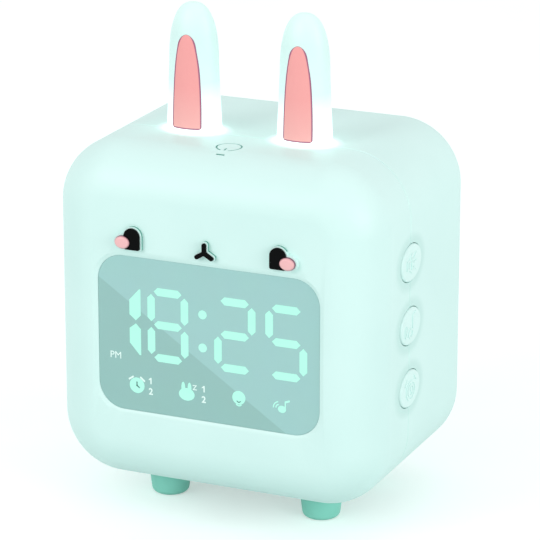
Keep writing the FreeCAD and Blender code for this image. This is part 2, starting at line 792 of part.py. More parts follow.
def circuit():
    """The main board behind the display, its lamps in front and its chips behind."""
    board = box(
        "board_plate",
        ("-36", "36"),
        (BOARD, f"{BOARD} + board_thick"),
        (f"{WINDOW_MIDDLE} - 23.5", f"{WINDOW_MIDDLE} + 29.5"),
    )
    holes = []
    for number, (x, z) in enumerate(BOARD_POSTS):
        at = (x, f"{BOARD} - 1", f"{WINDOW_MIDDLE} + ({z})")
        holes.append(rod(f"board_hole_{number}", "small_shank + 0.1", "board_thick + 2", at, "y"))
    node(cut("main_board", board, *holes), "main_board")
    lamps = []
    spots = [Vector(b.CenterOfMass) for b in digit_bars(0, 1, 0) + icon_windows(0, 1, 0)]
    for spot in spots:
        lamps.append(Part.makeBox(1.6, 0.8, 0.8, Vector(spot.x - 0.8, board_front - 0.8, spot.z - 0.4)))
    node(shaped("display_leds", Part.makeCompound(lamps)), "display_leds")
    back = board_front + size.board_thick
    chips = []
    for x, z, wide, tall, thick in (
        (-8, 8, 10, 10, 1.4),
        (10, 12, 8, 5, 1.6),
        (12, -2, 5, 5, 1.2),
        (-20, -6, 6, 4, 1.5),
    ):
        corner = Vector(x - wide / 2, back, window_middle + z - tall / 2)
        chips.append(Part.makeBox(wide, thick, tall, corner))
    node(shaped("main_chips", Part.makeCompound(chips)), "main_chips")
    plugs = []
    for x, z in PLUG_PLACES.values():
        corner = Vector(x - 3, back, window_middle + z - 2)
        plugs.append(Part.makeBox(6, 4.5, 4, corner))
    node(shaped("lead_plugs", Part.makeCompound(plugs)), "lead_plugs")


PLUG_PLACES = {
    "power": (-26.0, -16.0),
    "speaker": (26.0, 8.0),
    "lights": (0.0, 25.0),
    "switch_left": (-29.0, 14.0),
    "switch_right": (29.0, -12.0),
}


# Face


def face():
    for side, word, _ in mirror_x("eye_spread"):
        node(eye_shape(f"eye_{word}", side, "ink"), f"eye_{word}")
    node(nose_shape("nose", 0.0, size.boss_rise, size.ink_rise), "nose")
    for side, word, _ in mirror_x("cheek_spread"):
        peg = cheek_solid(side, 0.0, size.cheek_rise, 1.1)
        front = size.front_face - size.cheek_rise
        rim = [e for e in peg.Edges if e.BoundBox.YMax < front + 0.01]
        node(shaped(f"cheek_{word}", peg.makeFillet(0.7, rim)), f"cheek_{word}")


# Ears


def ear_solid(side, inset, low, high_inset):
    """An upright ear, oval across, nearly straight and then drawn to a round tip."""
    base = size.ear_base - inset
    waist = size.ear_waist - inset
    tip = top + size.ear_rise - high_inset
    shoulder = tip - size.ear_dome
    profile = [Vector(0, 0, low), Vector(base, 0, low), Vector(base, 0, top), Vector(waist, 0, shoulder)]
    dome = [profile[-1]]
    steps = 8
    for step in range(1, steps + 1):
        angle = step / steps * math.pi / 2
        reach = waist * math.cos(angle) ** 0.8
        dome.append(Vector(max(reach, 0.0), 0, shoulder + size.ear_dome * math.sin(angle) ** 0.8))
    curve = Part.BSplineCurve()
    lean = Vector(waist - base, 0, shoulder - top).normalize()
    curve.interpolate(Points=dome, InitialTangent=lean * 6, FinalTangent=Vector(-6, 0, 0))
    edges = [Part.LineSegment(a, b).toShape() for a, b in zip(profile, profile[1:])]
    edges += [curve.toShape(), Part.LineSegment(dome[-1], profile[0]).toShape()]
    solid = Part.Face(Part.Wire(edges)).revolve(Vector(), Vector(0, 0, 1), 360)
    flatten = FreeCAD.Matrix()
    flatten.scale(1, (size.ear_base * size.ear_flat - inset) / base, 1)
    solid = solid.transformGeometry(flatten)
    solid.translate(Vector(side * size.ear_spread, size.ear_back, 0))
    return solid


def inlay_prism(side, gap):
    """The tall arched window of the pink inner ear, as a prism through the ear's front."""
    half = size.inlay_width / 2 + gap
    low = top + size.inlay_low - gap
    tall = top + size.inlay_high + gap - low
    x = side * size.ear_spread
    y = size.ear_back
    heights = (0, 0.25, 0.5, 0.7, 0.85, 0.95)
    flank = [(half * (1 - t**2) ** (1 / 3), low + t * tall) for t in heights]
    outline = [Vector(x + reach, y, z) for reach, z in flank]
    outline.append(Vector(x, y, low + tall))
    outline += [Vector(x - reach, y, z) for reach, z in reversed(flank)]
    arch = Part.BSplineCurve()
    arch.interpolate(Points=outline)
    edges = [arch.toShape(), Part.LineSegment(outline[-1], outline[0]).toShape()]
    solid = Part.Face(Part.Wire(edges)).extrude(Vector(0, -12, 0))
    foot = [e for e in solid.Edges if e.BoundBox.YLength > 11 and e.CenterOfMass.z < low + 0.01]
    return solid.makeFillet(0.8, foot)


def ears():
    for side, word, _ in mirror_x("ear_spread"):
        low = top - size.wall - size.ear_flange
        shell = ear_solid(side, 0, low, 0)
        flange = Part.makeCylinder(size.ear_base + 1.6, size.ear_flange, Vector(0, 0, low))
        flatten = FreeCAD.Matrix()
        flatten.scale(1, size.ear_flat, 1)
        flange = flange.transformGeometry(flatten)
        flange.translate(Vector(side * size.ear_spread, size.ear_back, 0))
        hollow = ear_solid(side, size.ear_wall, low - 1, size.ear_wall)
        deep = ear_solid(side, size.inlay_sink, low - 1, size.inlay_sink)
        pocket = inlay_prism(side, 0.05).cut(deep)
        ear = shell.fuse(flange).cut(hollow).cut(pocket)
        node(shaped(f"ear_{word}", ear), f"ear_{word}")
        inlay = inlay_prism(side, 0.0).common(shell).cut(deep)
        solids = sorted(inlay.Solids, key=lambda solid: solid.Volume)
        node(shaped(f"inner_ear_{word}", solids[-1]), f"inner_ear_{word}")
    clamp_top = f"{TOP} - wall - ear_flange"
    plate = box(
        "clamp_plate", ("-30", "30"), ("-14.8", "2.5"), (f"{clamp_top} - 1.8", clamp_top)
    )
    tools = []
    for number, (x, y) in enumerate(CLAMP_POSTS):
        at = (x, y, f"{clamp_top} - 3")
        tools.append(rod(f"clamp_hole_{number}", "small_shank + 0.1", "4", at))
    for _, word, across in mirror_x("ear_spread"):
        at = (f"{across} - 1.2", "ear_back", f"{clamp_top} - 3")
        tools.append(rod(f"clamp_lead_hole_{word}", 1.0, "4", at))
    node(cut("ear_clamp", plate, *tools), "ear_clamp")
    lamps = []
    for side, word, across in mirror_x("ear_spread"):
        board = box(
            f"ear_board_plate_{word}",
            (f"{across} - 3.9", f"{across} + 3.9"),
            ("ear_back - 2.4", "ear_back + 2.4"),
            (clamp_top, f"{clamp_top} + 1"),
        )
        at = (f"{across} - 1.2", "ear_back", f"{clamp_top} - 1")
        hole = rod(f"ear_board_hole_{word}", 0.9, "3", at)
        node(cut(f"ear_light_board_{word}", board, hole), f"ear_light_board_{word}")
        for step in (-2.9, 1.2, 2.9):
            low = top - size.wall - size.ear_flange + 1
            corner = Vector(side * size.ear_spread + step - 0.7, size.ear_back - 0.7, low)
            lamps.append(Part.makeBox(1.4, 1.4, 0.8, corner))
    node(shaped("ear_leds", Part.makeCompound(lamps)), "ear_leds")
    patch = box(
        "touch_pad",
        ("-8", "8"),
        ("front_face + front_round + 0.2", "-12.4"),
        (f"{TOP} - wall - 0.3", f"{TOP} - wall"),
    )
    node(patch, "touch_plate")


# Buttons


def inward(side, near, far):
    """A stretch along X between two distances from the middle, on one side of the clock."""
    return (f"-({far})", f"-({near})") if side < 0 else (near, far)


def arc_line(centre, radius, start, end, squeeze=1.0, steps=8):
    """Points along an arc, with its height squeezed; angles in degrees."""
    angles = [math.radians(start + (end - start) * step / steps) for step in range(steps + 1)]
    u, v = centre
    return [(u + radius * math.cos(a), v + radius * squeeze * math.sin(a)) for a in angles]


def volume_symbol():
    """A loudspeaker with three rays."""
    horn = [(-3.3, -1.1), (-2.1, -1.1), (-0.3, -2.3), (-0.3, 2.3), (-2.1, 1.1), (-3.3, 1.1), (-3.3, -1.1)]
    back = [(-2.1, -1.1), (-2.1, 1.1)]
    return [horn, back, [(1.1, 0), (2.9, 0)], [(1.0, 1.2), (2.6, 2.1)], [(1.0, -1.2), (2.6, -2.1)]]


def melody_symbol():
    """A note with two sound waves."""
    head = arc_line((-0.5, -1.7), 1.4, 0, 360, 0.75, 12)
    stem = [(0.9, -1.7), (0.9, 2.6), (2.7, 3.1)]
    return [head, stem] + [arc_line((-0.5, -1.0), radius, 145, 200, 0.8) for radius in (2.6, 3.6)]


def alarm_symbol():
    """A round alarm clock with two bells."""
    rings = [arc_line((0, -0.4), radius, 0, 360, 0.85, 16) for radius in (1.7, 2.8)]
    hands = [(0, 0.5), (0, -0.4), (0.8, -0.9)]
    return rings + [hands, [(-3.6, 1.6), (-2.4, 2.8)], [(3.6, 1.6), (2.4, 2.8)]]


def clock_set_symbol():
    """A plain clock face."""
    return [arc_line((0, 0), 2.7, 0, 360, 0.9, 16), [(0, 1.5), (0, 0), (1.3, 0)]]


def plus_symbol():
    return [[(-2, 0), (2, 0)], [(0, -2), (0, 2)]]


def minus_symbol():
    return [[(-2, 0), (2, 0)]]


SYMBOLS = {
    "volume": volume_symbol,
    "melody": melody_symbol,
    "alarm": alarm_symbol,
    "clock_set": clock_set_symbol,
    "plus": plus_symbol,
    "minus": minus_symbol,
}


def raised_symbol(name, side, step):
    """The symbol on a button's face, as bars of one width that end in discs."""
    half = size.symbol_line / 2
    root = 0.3
    seat = side * (size.body_width / 2 + size.button_proud - root)
    height = middle + size.button_lift + step * size.button_pitch
    rise = Vector(side * (root + size.symbol_rise), 0, 0)
    bars = []
    for line in SYMBOLS[name]():
        points = [Vector(seat, seam + side * u, height + v) for u, v in line]
        for start, end in zip(points, points[1:]):
            across = (end - start).normalize().cross(Vector(1, 0, 0)) * half
            corners = [start + across, start - across, end - across, end + across]
            bars.append(Part.Face(Part.makePolygon(corners + corners[:1])).extrude(rise))
        for point in points:
            bars.append(Part.makeCylinder(half, rise.Length, point, rise))
    whole = bars[0].multiFuse(bars[1:]).removeSplitter()
    return shaped(name + "_symbol", whole)


def buttons():
    for side, step, height, name in button_places():
        flange_back = f"({SIDE} - wall - 0.1 - flange_thick)"
        cap = oval(
            name + "_cap",
            "button_deep",
            "button_tall",
            f"{SIDE} + button_proud - {flange_back}",
            (f"{side} * {flange_back}", SEAM, height),
            side_turn(side),
        )
        flange = oval(
            name + "_flange",
            "button_deep + flange_extra",
            "button_tall + flange_extra",
            "flange_thick",
            (f"{side} * {flange_back}", SEAM, height),
            side_turn(side),
        )
        start = "(switch_face + button_travel + 0.4)"
        stem = rod(name + "_stem", "stem_radius", f"{flange_back} - {start}", (0, 0, 0))
        turn = Rotation(Vector(0, side, 0), 90)
        place(stem, f"{side} * {start}", SEAM, height, turn=turn)
        doc.recompute()
        rounded = doc.addObject("Part::Fillet", name + "_rounded")
        rounded.Base = cap
        edge = next(
            number
            for number, e in enumerate(cap.Shape.Edges, start=1)
            if abs(e.CenterOfMass.x) > size.body_width / 2 and e.BoundBox.XLength < 0.01
        )
        rounded.Edges = [(edge, 0.6, 0.6)]
        symbol = raised_symbol(name, side, step)
        solid = fuse(name + "_button_solid", rounded, flange, stem, symbol)
        node(solid, name + "_button")
        reach = f"{start} - plunger_reach"
        plunger = rod(name + "_plunger", "plunger_radius", "plunger_reach", (0, 0, 0))
        place(plunger, f"{side} * ({reach})", SEAM, height, turn=turn)
        node(plunger, name + "_plunger")
    for side, word in ((-1, "left"), (1, "right")):
        switches = []
        for number, step in enumerate((-1, 0, 1)):
            height = f"({BUTTON_ROW} + ({step}) * button_pitch)"
            case = box(
                f"switch_case_{word}_{number}",
                inward(side, "switch_face - switch_tall", "switch_face"),
                (f"{SEAM} - switch_size / 2", f"{SEAM} + switch_size / 2"),
                (f"{height} - switch_size / 2", f"{height} + switch_size / 2"),
            )
            well = rod(f"switch_well_{word}_{number}", "plunger_radius + 0.2", "4", (0, 0, 0))
            turn = Rotation(Vector(0, side, 0), 90)
            place(well, f"{side} * (switch_face - 2.6)", SEAM, height, turn=turn)
            switches.append(cut(f"switch_{word}_{number}", case, well))
        group(f"tact_switches_{word}", switches)
        board = box(
            f"switch_board_plate_{word}",
            inward(side, "switch_face - switch_tall - board_thick", "switch_face - switch_tall"),
            (f"{SEAM} - 8", f"{SEAM} + 8"),
            (f"{BUTTON_ROW} - button_pitch - 6", f"{BUTTON_ROW} + button_pitch + 6"),
        )
        holes = []
        for number, step in enumerate((-0.5, 0.5)):
            hole = rod(f"switch_board_hole_{word}_{number}", "small_shank + 0.1", "4", (0, 0, 0))
            height = f"{BUTTON_ROW} + ({step}) * button_pitch"
            start = f"{side} * (switch_face - switch_tall - 3)"
            turn = Rotation(Vector(0, side, 0), 90)
            holes.append(place(hole, start, SWITCH_POST_BACK, height, turn=turn))
        node(cut(f"switch_board_{word}", board, *holes), f"switch_board_{word}")


# Feet


def feet():
    for name, across, deep in foot_places():
        cone = doc.addObject("Part::Cone", name + "_cone")
        bind(cone, Radius1="foot_base", Radius2="foot_top", Height="foot_height")
        place(cone, across, deep, 0)
        doc.recompute()
        edge = next(
            number
            for number, e in enumerate(cone.Shape.Edges, start=1)
            if e.BoundBox.ZMax < 0.01
        )
        rounded = doc.addObject("Part::Fillet", name + "_rounded")
        rounded.Base = cone
        rounded.Edges = [(edge, size.foot_edge, size.foot_edge)]
        neck = rod(name + "_neck", "neck_radius", "wall + 0.6", (across, deep, "foot_height - 0.5"))
        cap = rod(name + "_cap", "neck_radius + 1.4", "1.4", (across, deep, "foot_height + wall"))
        node(fuse(name, rounded, neck, cap), name)


# Power


def power():
    cell = rod("cell_can", "cell_radius", "cell_length", (0, 0, 0), "x")
    place(cell, "-cell_length / 2", "cell_back", "cell_height", turn=TURN["x"])
    node(cell, "battery_cell")
    block = box(
        "holder_block",
        ("-cell_length / 2 - 2", "cell_length / 2 + 2"),
        ("cell_back - 4", "cell_back + 11"),
        ("cell_height - cell_radius - 2", "cell_height + cell_radius + 2"),
    )
    tabs = box(
        "holder_tabs",
        ("-40.4", "40.4"),
        ("cell_back + 7", "cell_back + 9"),
        ("cell_height - 3.5", "cell_height + 3.5"),
    )
    tools = []
    bed = rod("holder_bed", "cell_radius + 0.1", "cell_length + 0.4", (0, 0, 0), "x")
    tools.append(place(bed, "-cell_length / 2 - 0.2", "cell_back", "cell_height", turn=TURN["x"]))
    for number, x in enumerate(HOLDER_TABS):
        at = (x, "cell_back + 6", "cell_height")
        tools.append(rod(f"holder_hole_{number}", "small_shank + 0.1", "4", at, "y"))
    node(cut("battery_holder", fuse("holder_solid", block, tabs), *tools), "battery_holder")
    rear = size.front_face + size.body_depth
    depth = 7.3
    start = rear - 0.6 - depth
    shell = stadium(size.socket_wide, size.socket_tall, depth)
    inner = stadium(size.socket_wide - 0.6, size.socket_tall - 0.6, depth)
    inner.translate(Vector(0, 1.2, 0))
    tongue = Part.makeBox(6.7, depth - 1.2, 0.7, Vector(-3.35, 0.6, -0.35))
    socket = shell.cut(inner).fuse(tongue)
    node(shaped("usb_socket", socket, Vector(0, start, size.socket_height)), "usb_socket")
    board_top = "(socket_height - socket_tall / 2)"
    plate = box(
        "usb_plate", ("-9", "9"), ("14", f"{REAR} - wall - 0.4"), (f"{board_top} - 1.2", board_top)
    )
    holes = [
        rod(f"usb_hole_{number}", "small_shank + 0.1", "4", (x, 19.0, f"{board_top} - 3"))
        for number, x in enumerate((-6.5, 6.5))
    ]
    node(cut("usb_board", plate, *holes), "usb_board")


# Sound


def sound():
    """A small round speaker that faces the grille in the rear wall."""
    plate_back = size.front_face + size.body_depth - size.wall - 3
    plate_front = plate_back - 2
    half = size.speaker_plate / 2
    ring = size.speaker_ring
    place_at = Vector(0, 0, size.speaker_height)
    plate = Part.makeBox(2 * half, 2, 2 * half, Vector(-half, plate_front, -half))
    along = [e for e in plate.Edges if e.BoundBox.YLength > 1.9]
    plate = plate.makeFillet(3, along)
    basket = Part.makeCone(9.6, ring + 1, 6, Vector(0, plate_front - 6, 0), Vector(0, 1, 0))
    inside = Part.makeCone(8.8, ring, 6, Vector(0, plate_front - 5.2, 0), Vector(0, 1, 0))
    back_hole = Part.makeCylinder(ring, 4, Vector(0, plate_front - 0.01, 0), Vector(0, 1, 0))
    frame = plate.fuse(basket).cut(inside).cut(back_hole)
    for x, z in SPEAKER_POSTS:
        hole = Part.makeCylinder(size.small_shank + 0.1, 4, Vector(x, plate_front - 1, z), Vector(0, 1, 0))
        frame = frame.cut(hole)
    node(shaped("speaker_frame", frame, place_at), "speaker_frame")
    profile = [(0, 0.4), (4.0, -0.8), (5.0, -2.6), (12.6, 0.9), (13.6, 1.5), (15.2, 0.9)]
    base = plate_front
    near = [Vector(r, base + y, 0) for r, y in profile]
    far = [Vector(r, base + y - 0.5, 0) for r, y in reversed(profile)]
    outline = Part.Face(Part.makePolygon(near + far + near[:1]))
    cone = outline.revolve(Vector(), Vector(0, 1, 0), 360)
    node(shaped("speaker_cone", cone, place_at), "speaker_cone")
    start = Vector(0, plate_front - 11, 0)
    magnet = Part.makeCylinder(8.4, 5, start, Vector(0, 1, 0))
    node(shaped("speaker_magnet", magnet, place_at), "speaker_magnet")
    outer = Part.makeCylinder(17.4, 2.9, Vector(0, plate_back + 0.05, 0), Vector(0, 1, 0))
    hole = Part.makeCylinder(15.6, 4, Vector(0, plate_back - 0.5, 0), Vector(0, 1, 0))
    gasket = outer.cut(hole)
    for x, z in SPEAKER_POSTS:
        at = Vector(x, plate_back - 0.5, z)
        gasket = gasket.cut(Part.makeCylinder(2.4, 4, at, Vector(0, 1, 0)))
    node(shaped("speaker_gasket", gasket, place_at), "speaker_gasket")


# Fasteners


def screw(at, direction, shank, length, head, head_tall):
    """A pan-headed screw: its head's underside is at the given point."""
    body = Part.makeCylinder(shank, length, at, direction)
    top_of_head = Vector(at) - Vector(direction) * head_tall
    head_solid = Part.makeCylinder(head, head_tall, top_of_head, direction)
    rim = [e for e in head_solid.Edges if e.isClosed() and e.CenterOfMass.isEqual(top_of_head, 0.01)]
    head_solid = head_solid.makeFillet(head_tall * 0.4, rim)
    side = Vector(direction).cross(Vector(0.3, 0.5, 0.8)).normalize()
    cross = None
    for arm in (side, Vector(direction).cross(side)):
        other = Vector(direction).cross(arm)
        reach, narrow = head * 0.6, head * 0.13
        corners = [
            top_of_head + arm * a * reach + other * b * narrow
            for a, b in ((-1, -1), (1, -1), (1, 1), (-1, 1))
        ]
        slot = Part.Face(Part.makePolygon(corners + corners[:1]))
        slot = slot.extrude(Vector(direction) * head_tall * 0.6)
        cross = slot if cross is None else cross.fuse(slot)
    return body.fuse(head_solid.cut(cross))


def fasteners():
    rear = size.front_face + size.body_depth
    long_screws, plugs = [], []
    for x in (-size.column_spread, size.column_spread):
        for z in (middle - size.column_spread, middle + size.column_spread):
            at = Vector(x, size.well_floor, z)
            long_screws.append(screw(at, Vector(0, -1, 0), 1.25, 16, 2.7, 2.0))
            start = Vector(x, rear - size.plug_depth - 0.3, z)
            plug = Part.makeCylinder(size.well_radius - 0.05, size.plug_depth, start, Vector(0, 1, 0))
            rim = [e for e in plug.Edges if e.BoundBox.YMin > start.y + size.plug_depth - 0.01]
            plugs.append(plug.makeFillet(0.4, rim))
    node(shaped("housing_screws", Part.makeCompound(long_screws)), "housing_screws")
    node(shaped("screw_plugs", Part.makeCompound(plugs)), "screw_plugs")
    spots = []
    back = board_front + size.board_thick
    for x, z in BOARD_POSTS:
        spots.append((Vector(x, back, window_middle + z), Vector(0, -1, 0), size.small_length))
    clamp_low = top - size.wall - size.ear_flange - 1.8
    for x, y in CLAMP_POSTS:
        spots.append((Vector(x, y, clamp_low), Vector(0, 0, 1), size.small_length - 1))
    row = middle + size.button_lift
    reach = size.switch_face - size.switch_tall - size.board_thick
    for side, step in SWITCH_POSTS:
        at = Vector(side * reach, SWITCH_POST_BACK, row + step * size.button_pitch)
        spots.append((at, Vector(side, 0, 0), size.small_length))
    for x in HOLDER_TABS:
        spots.append((Vector(x, size.cell_back + 7, size.cell_height), Vector(0, 1, 0), size.small_length))
    plate_front = rear - size.wall - 5
    for x, z in SPEAKER_POSTS:
        spots.append((Vector(x, plate_front, size.speaker_height + z), Vector(0, 1, 0), size.small_length))
    for x in (-6.5, 6.5):
        at = Vector(x, 19.0, size.socket_height - size.socket_tall / 2)
        spots.append((at, Vector(0, 0, -1), size.small_length))
    small = [
        screw(at, way, size.small_shank, length, size.small_head, 1.3) for at, way, length in spots
    ]
    node(shaped("small_screws", Part.makeCompound(small)), "small_screws")


# Leads


def lead(points, radius):
    """A round wire along straight runs that tangent arcs join."""
    edges = []
    last = points[0]
    for before, corner, after in zip(points, points[1:], points[2:]):
        back, ahead = before - corner, after - corner
        half_turn = (math.pi - back.getAngle(ahead)) / 2
        trim = 0.45 * min(back.Length, ahead.Length)
        bend = trim / math.tan(half_turn)
        start, end = corner + back.normalize() * trim, corner + ahead.normalize() * trim
        inward_way = (back + ahead).normalize()
        centre = corner + inward_way * math.hypot(trim, bend)
        crest = centre - inward_way * bend
        edges.append(Part.LineSegment(last, start).toShape())
        edges.append(Part.Arc(start, crest, end).toShape())
        last = end
    edges.append(Part.LineSegment(last, points[-1]).toShape())
    path = Part.Wire(edges)
    ring = Part.Wire(Part.Circle(points[0], points[1] - points[0], radius).toShape())
    tube = path.makePipeShell([ring], True, False)
    expected = math.pi * radius**2 * path.Length
    print("lead", round(path.Length, 1), "mm, volume ratio", round(tube.Volume / expected, 3))
    return tube


def leads():
    x, z = PLUG_PLACES["power"]
    plug = Vector(x, board_front + size.board_thick + 4.6, window_middle + z)
    cell_front = size.cell_back - size.cell_radius
    routes = {"battery_leads": [], "speaker_leads": []}
    for shift in (-0.8, 0.8):
        offset = Vector(0, 0, shift)
        points = [
            Vector(-30, cell_front, size.cell_height),
            Vector(-30, cell_front - 7, size.cell_height),
            Vector(plug.x, plug.y + 9, plug.z),
            plug,
        ]
        routes["battery_leads"].append(lead([point + offset for point in points], size.lead_radius))
    x, z = PLUG_PLACES["speaker"]
    plug = Vector(x, board_front + size.board_thick + 4.6, window_middle + z)
    frame_front = size.front_face + size.body_depth - size.wall - 5
    for shift in (-0.8, 0.8):
        offset = Vector(0, 0, shift)
        points = [
            Vector(17.3, frame_front - 0.05, 64),
            Vector(18.5, frame_front - 11, 63),
            Vector(24.5, plug.y + 13, 59),
            plug,
        ]
        routes["speaker_leads"].append(lead([point + offset for point in points], size.lead_radius))
    for name, wires in routes.items():
        node(shaped(name, Part.makeCompound(wires)), name)


def export():
    """Check every object, then write each sub-part to its own file."""
    doc.recompute()
    faults = [obj.Name for obj in doc.Objects if {"Invalid", "Error"} & set(obj.State)]
    faults += [piece.Label for piece in nodes if piece.Shape.isNull() or not piece.Shape.isValid()]
    if faults:
        raise RuntimeError("failed objects: " + ", ".join(sorted(set(faults))))
    os.makedirs("parts", exist_ok=True)
    for piece in nodes:
        piece.Shape.exportStep(os.path.join("parts", piece.Label + ".step"))
    print(len(nodes), "sub-parts written")


front_shell()
rear_shell()
display()
circuit()
face()
ears()
buttons()
feet()
power()
sound()
fasteners()
leads()
export()
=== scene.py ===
import json
import math

import bmesh
import bpy
from mathutils import Matrix, Vector


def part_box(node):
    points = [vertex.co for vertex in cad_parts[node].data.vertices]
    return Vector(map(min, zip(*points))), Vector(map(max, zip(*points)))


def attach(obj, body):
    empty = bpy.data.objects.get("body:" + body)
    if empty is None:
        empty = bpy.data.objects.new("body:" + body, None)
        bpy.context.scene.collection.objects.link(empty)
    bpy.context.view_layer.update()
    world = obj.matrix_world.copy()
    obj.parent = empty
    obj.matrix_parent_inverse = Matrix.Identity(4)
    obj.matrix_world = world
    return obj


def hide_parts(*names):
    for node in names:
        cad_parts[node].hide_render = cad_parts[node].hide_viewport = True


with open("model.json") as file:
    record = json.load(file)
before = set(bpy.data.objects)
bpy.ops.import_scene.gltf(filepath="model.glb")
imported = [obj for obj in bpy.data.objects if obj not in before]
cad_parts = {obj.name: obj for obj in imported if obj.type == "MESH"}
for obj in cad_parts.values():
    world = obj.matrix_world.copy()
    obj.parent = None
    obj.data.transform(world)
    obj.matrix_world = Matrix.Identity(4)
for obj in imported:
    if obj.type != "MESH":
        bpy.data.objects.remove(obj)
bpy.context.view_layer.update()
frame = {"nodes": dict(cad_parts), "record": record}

# Looks of a kids' alarm clock with night light. Metres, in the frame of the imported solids.

MM = 0.001
BODY = "clock"


# Places read from the solids, so that every piece sits on what carries it


def middle_of(node):
    low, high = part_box(node)
    return (low + high) / 2


SHELL_LOW, SHELL_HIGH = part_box("front_shell")
WINDOW_LOW, WINDOW_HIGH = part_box("display_window")
BODY_MIDDLE = Vector((0, 0, (SHELL_LOW.z + SHELL_HIGH.z) / 2))

# The eyes stand out from the face, and the low boss round each of them a little less
EYE_PROUD = 1.45 * MM
EYE_OVER_BOSS = 0.45 * MM
BOSS_RISE = EYE_PROUD - EYE_OVER_BOSS
FRONT_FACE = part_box("eye_right")[0].y + EYE_PROUD
BODY_CENTRE = Vector((0, (FRONT_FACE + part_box("rear_shell")[1].y) / 2, BODY_MIDDLE.z))
CHEEK_MIDDLE = middle_of("cheek_right")
CHEEK_CLEAR = 2.7 * MM

# The ears' ovals where they meet the top
EAR_MIDDLE = middle_of("ear_light_board_right")
EAR_HALF = Vector((7.2 * MM, 5.33 * MM, 0))

# One button of a side wall, and how far apart they are
KEY_MIDDLE = middle_of("melody_button")
KEY_HALF = (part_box("melody_button")[1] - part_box("melody_button")[0]) / 2
KEY_PITCH = middle_of("volume_button").z - KEY_MIDDLE.z

# The touch mark: its middle behind the front, its reach, and how the top bends down ahead of it
TOUCH_BACK = 13.75 * MM
TOUCH_REACH = 6.5 * MM
TOP_BEND = FRONT_FACE + 12.3 * MM
TOP_FALL = 0.046 / MM

# The window: its corners, its fine gap and the slant where the lighter and darker tones of its painted
# reflection meet
WINDOW_CORNER = 6.8 * MM
WINDOW_SEAM = 0.09 * MM
GLEAM_DROP = 6.1 * MM
GLEAM_SLOPE = 33.8 / 50.5

# The surroundings: where the lamps look, the world's fill and the floor's lift towards white
LAMP_AIM = Vector((0, 0, 0.05))
WORLD_FILL = 0.74
FLOOR_LIFT = 0.42
FLOOR_MOTTLE = 30.0


# Camera, at the photograph's viewing angle and distance


def make_camera():
    """A long lens a little to the right of the clock and above it."""
    azimuth = math.radians(23.90)
    elevation = math.radians(17.79)
    distance = 0.80276
    aim_right = 0.00232
    aim_up = 0.006391
    focal_pixels = 3152.6
    frame_pixels = 540
    back = Vector(
        (
            math.sin(azimuth) * math.cos(elevation),
            -math.cos(azimuth) * math.cos(elevation),
            math.sin(elevation),
        )
    )
    right = Vector((math.cos(azimuth), math.sin(azimuth), 0))
    up = back.cross(right)
    data = bpy.data.cameras.new("view_camera")
    data.sensor_width = 36
    data.lens = data.sensor_width * focal_pixels / frame_pixels
    data.clip_start = 0.05
    data.clip_end = 20
    camera = bpy.data.objects.new("view_camera", data)
    bpy.context.scene.collection.objects.link(camera)
    camera.rotation_mode = "QUATERNION"
    camera.rotation_quaternion = Matrix((right, up, back)).transposed().to_quaternion()
    camera.location = BODY_CENTRE + right * aim_right + up * aim_up + back * distance
    bpy.context.scene.camera = camera


# Materials


def colour(text):
    """An sRGB hex value as Blender's linear colour."""
    channels = [int(text[i : i + 2], 16) / 255 for i in (0, 2, 4)]
    linear = [c / 12.92 if c <= 0.04045 else ((c + 0.055) / 1.055) ** 2.4 for c in channels]
    return (*linear, 1.0)


def grey(level):
    return (level, level, level, 1.0)


def add(tree, kind, settings=None, inputs=None):
    """A node with its settings, and its inputs as values or as links. A node given as an
    input stands for its first output, and a colour ramp's stops are a setting too."""
    made = tree.nodes.new(kind)
    for name, value in (settings or {}).items():
        if name != "stops":
            setattr(made, name, value)
            continue
        elements = made.color_ramp.elements
        while len(elements) < len(value):
            elements.new(0.5)
        for element, (position, tint) in zip(elements, value):
            element.position = position
            element.color = tint
    for name, value in (inputs or {}).items():
        if isinstance(value, bpy.types.Node):
            value = value.outputs[0]
        if isinstance(value, bpy.types.NodeSocket):
            tree.links.new(value, made.inputs[name])
        else:
            made.inputs[name].default_value = value
    return made


def new_material(name):
    made = bpy.data.materials.new(name)
    made.use_nodes = True
    made.node_tree.nodes.clear()
    return made, made.node_tree


def surface(tree, look):
    """The whole surface of a material, from the values and links of its look."""
    shader = add(tree, "ShaderNodeBsdfPrincipled", None, look)
    add(tree, "ShaderNodeOutputMaterial", None, {"Surface": shader})


def satin(tree, base, shade, roughness, grain, relief):
    """What every moulding shares: a colour that drifts a little with wall thickness, a fine
    spark-eroded grain of the given millimetres and a satin gloss that the grain breaks up."""
    place = add(tree, "ShaderNodeTexCoord").outputs["Object"]
    drift = add(tree, "ShaderNodeTexNoise", None, {"Vector": place, "Scale": 1 / (26 * MM)})
    stops = [(0.32, colour(base)), (0.75, colour(shade))]
    tint = add(tree, "ShaderNodeValToRGB", {"stops": stops}, {"Fac": drift})
    fine = add(tree, "ShaderNodeTexNoise", None, {"Vector": place, "Scale": 1 / (grain * MM)})
    spread = {"Value": fine, "To Min": roughness - 0.05, "To Max": roughness + 0.06}
    gloss = add(tree, "ShaderNodeMapRange", None, spread)
    raised = {"Height": fine, "Strength": 0.25, "Distance": relief * MM}
    bump = add(tree, "ShaderNodeBump", None, raised)
    look = {"Base Color": tint, "Roughness": gloss, "Normal": bump, "IOR": 1.5}
    return place, look


def moulding(name, base, shade, roughness=0.42, grain=0.35, relief=0.02, specular=0.5):
    """Moulded plastic or rubber with nothing but its own colour, grain and gloss."""
    made, tree = new_material(name)
    look = satin(tree, base, shade, roughness, grain, relief)[1]
    look["Specular IOR Level"] = specular
    surface(tree, look)
    return made


